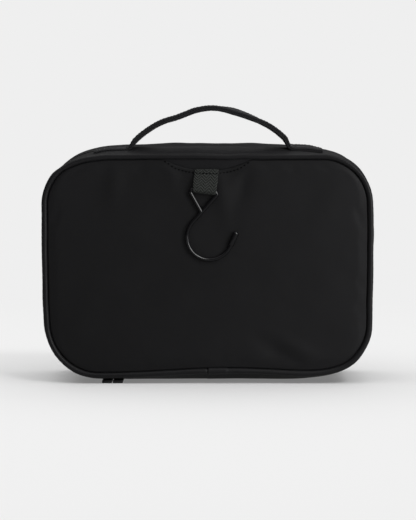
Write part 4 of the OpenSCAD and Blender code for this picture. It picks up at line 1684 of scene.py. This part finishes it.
def pullTab(name, node, slant):
    low, high = (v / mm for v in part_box(node))
    x, half = (low.x + high.x) / 2, pull["width"] / 2
    base, top = low.z + 0.1, low.z + 1.7
    end = low.y + pull["tip"]
    blade = softBlock("blade", (x - half, end - 0.2, base), (x + half, zipY - pull["neck"], top), 0)
    editOnly(blade)
    bpy.ops.mesh.select_mode(type="FACE")
    bpy.ops.mesh.select_all(action="DESELECT")
    work = bmesh.from_edit_mesh(blade.data)
    for face in work.faces:
        face.select = abs(face.normal.z) > 0.9 and face.calc_area() > 1e-5
    bmesh.update_edit_mesh(blade.data)
    bpy.ops.mesh.inset(thickness=1.3 * mm, depth=0)
    bpy.ops.mesh.inset(thickness=0.35 * mm, depth=-pull["recess"] * mm)
    bpy.ops.object.mode_set(mode="OBJECT")
    roundEdges(blade, lambda at, edge: len(edge.link_faces) == 2 and edge.calc_face_angle(0) > 1.2, 0.3, 3)
    tip = softBlock("tip", (x - half, low.y, base), (x + half, end, high.z), 0.45, 4)
    for vertex in tip.data.vertices:  # the left pull's end is cut on the slant
        share = (vertex.co.x / mm - (x - half)) / pull["width"]
        rise = (vertex.co.z / mm - base) / (high.z - base)
        vertex.co.x += slant * (1 - share) * rise * mm
    corner = (x - pull["knuckle"] / 2, zipY - pull["neck"] - 0.5, base + 0.15)
    neck = softBlock("neck", corner, (x + pull["knuckle"] / 2, zipY - 0.2, top - 0.15), 0.25)
    knuckle = barAcross(28, pull["eye"], pull["knuckle"], (x, zipY, low.z + 0.85))
    obj = joinPieces(name, [blade, tip, neck, knuckle])
    bpy.context.view_layer.objects.active = obj
    obj.select_set(True)
    bpy.ops.object.shade_smooth_by_angle(angle=math.radians(35))
    obj.select_set(False)
    return obj


for label, slant in (("left", 2.2), ("right", 0.0)):
    runner = parkedSlider("parkedSlider" + label.title(), "main_slider_" + label)
    finish(runner, "enamelledZinc", "slider_" + label)
    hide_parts("main_slider_" + label)
    hanging = pullTab("pullTab" + label.title(), "main_puller_" + label, slant)
    finish(hanging, "pullerTab", "puller_" + label)
    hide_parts("main_puller_" + label)
print("sliders and pulls made")


# floor, light and camera
studio = {
    "background": 0.863,
    "floorTone": 0.77,
    "floorGlow": 0.22,
    "fadeFrom": 0.35,  # the floor passes into the background between these distances
    "fadeTo": 0.8,
    "zenith": 1.9,
    "horizon": 0.09,
    "domeFrom": 0.52,  # where the sky turns from the dark horizon to the bright zenith
    "domeTo": 0.88,
    "keyStrength": 0.62,
    "keyAngle": 13,
    "keyTurn": (math.radians(42), 0, math.radians(38)),
    "sideSize": 0.5,
    "sidePower": 18.0,
    "sidePlace": (0.95, -0.75, 0.35),
    "hookPower": 42.0,
    "hookSize": 0.6,
    "hookPlace": (0.42, -0.85, 0.62),
}


def makeFloor():
    bpy.ops.object.select_all(action="DESELECT")
    bpy.ops.mesh.primitive_circle_add(vertices=96, radius=12.0, fill_type="NGON", location=(0, 0, 0))
    floor = bpy.context.object
    floor.name = "studioFloor"
    material = bpy.data.materials.new("studioFloor")
    material.use_nodes = True
    tree = material.node_tree
    tree.nodes.clear()
    out = addNode(tree, "ShaderNodeOutputMaterial")
    lit = addNode(tree, "ShaderNodeBsdfDiffuse")
    lit.inputs["Color"].default_value = (studio["floorTone"],) * 3 + (1,)
    far = addNode(tree, "ShaderNodeEmission", Strength=1.0)
    far.inputs["Color"].default_value = (studio["background"],) * 3 + (1,)
    place = addNode(tree, "ShaderNodeTexCoord")
    length = addNode(tree, "ShaderNodeVectorMath", operation="LENGTH")
    tree.links.new(place.outputs["Object"], length.inputs[0])
    fade = addNode(tree, "ShaderNodeMapRange", interpolation_type="SMOOTHSTEP")
    fade.inputs["From Min"].default_value = studio["fadeFrom"]
    fade.inputs["From Max"].default_value = studio["fadeTo"]
    tree.links.new(length.outputs["Value"], fade.inputs["Value"])
    mix = addNode(tree, "ShaderNodeMixShader")
    tree.links.new(fade.outputs["Result"], mix.inputs[0])
    glow = addNode(tree, "ShaderNodeMixShader")
    glow.inputs[0].default_value = studio["floorGlow"]  # keeps the shadow under the bag pale
    tree.links.new(lit.outputs[0], glow.inputs[1])
    tree.links.new(far.outputs[0], glow.inputs[2])
    tree.links.new(glow.outputs[0], mix.inputs[1])
    tree.links.new(far.outputs[0], mix.inputs[2])
    tree.links.new(mix.outputs[0], out.inputs["Surface"])
    floor.data.materials.append(material)
    floor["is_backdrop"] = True
    return floor


def makeWorld():
    world = bpy.data.worlds.new("softStudio")
    bpy.context.scene.world = world
    world.use_nodes = True
    tree = world.node_tree
    tree.nodes.clear()
    out = addNode(tree, "ShaderNodeOutputWorld")
    seen = addNode(tree, "ShaderNodeBackground", Strength=1.0)
    seen.inputs["Color"].default_value = (studio["background"],) * 3 + (1,)
    dome = addNode(tree, "ShaderNodeBackground", Strength=1.0)
    place = addNode(tree, "ShaderNodeTexCoord")
    split = addNode(tree, "ShaderNodeSeparateXYZ")
    tree.links.new(place.outputs["Generated"], split.inputs[0])
    height = addNode(tree, "ShaderNodeMapRange", interpolation_type="SMOOTHSTEP")
    height.inputs["From Min"].default_value = studio["domeFrom"]
    height.inputs["From Max"].default_value = studio["domeTo"]
    height.inputs["To Min"].default_value = studio["horizon"]
    height.inputs["To Max"].default_value = studio["zenith"]
    tree.links.new(split.outputs[2], height.inputs["Value"])
    tree.links.new(height.outputs["Result"], dome.inputs["Color"])
    path = addNode(tree, "ShaderNodeLightPath")
    mix = addNode(tree, "ShaderNodeMixShader")
    tree.links.new(path.outputs["Is Camera Ray"], mix.inputs[0])
    tree.links.new(dome.outputs[0], mix.inputs[1])
    tree.links.new(seen.outputs[0], mix.inputs[2])
    tree.links.new(mix.outputs[0], out.inputs["Surface"])


def aimAt(obj, point):
    obj.rotation_euler = (Vector(point) - obj.location).to_track_quat("-Z", "Y").to_euler()


def softbox(name, lit):  # a soft area light that reaches the given pieces only
    light = bpy.data.lights.new(name + "Softbox", "AREA")
    light.shape = "RECTANGLE"
    light.size, light.size_y = studio[name + "Size"], studio[name + "Size"] * 1.6
    light.energy = studio[name + "Power"]
    obj = bpy.data.objects.new(name + "Softbox", light)
    obj.location = studio[name + "Place"]
    aimAt(obj, (0.06, 0, 0.1))
    bpy.context.scene.collection.objects.link(obj)
    receivers = bpy.data.collections.new(name + "Receivers")
    for piece in lit:
        receivers.objects.link(piece)
    obj.light_linking.receiver_collection = receivers


def makeLights():
    key = bpy.data.lights.new("keySun", "SUN")
    key.energy = studio["keyStrength"]
    key.angle = math.radians(studio["keyAngle"])
    keyObject = bpy.data.objects.new("keySun", key)
    keyObject.rotation_euler = studio["keyTurn"]
    bpy.context.scene.collection.objects.link(keyObject)
    softbox("side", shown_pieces())
    softbox("hook", [wireHook, sleeve])  # the narrow highlights on the black wire


makeFloor()
makeWorld()
makeLights()

view = {"distance": 1.4, "elevation": 3.6, "azimuth": 0.0, "aim": (0.0004, -0.043, 0.105), "lens": 114.96}
camera = bpy.data.cameras.new("camera")
camera.sensor_width = 36
camera.lens = view["lens"]
camera.clip_start, camera.clip_end = 0.05, 60
cameraObject = bpy.data.objects.new("camera", camera)
turn, lift = math.radians(view["azimuth"]), math.radians(view["elevation"])
away = Vector((math.sin(turn) * math.cos(lift), -math.cos(turn) * math.cos(lift), math.sin(lift)))
cameraObject.location = Vector(view["aim"]) + away * view["distance"]
aimAt(cameraObject, view["aim"])
bpy.context.scene.collection.objects.link(cameraObject)
scene = bpy.context.scene
scene.camera = cameraObject
scene.view_settings.view_transform = "Standard"
scene.view_settings.look = "None"
print("studio and camera made")
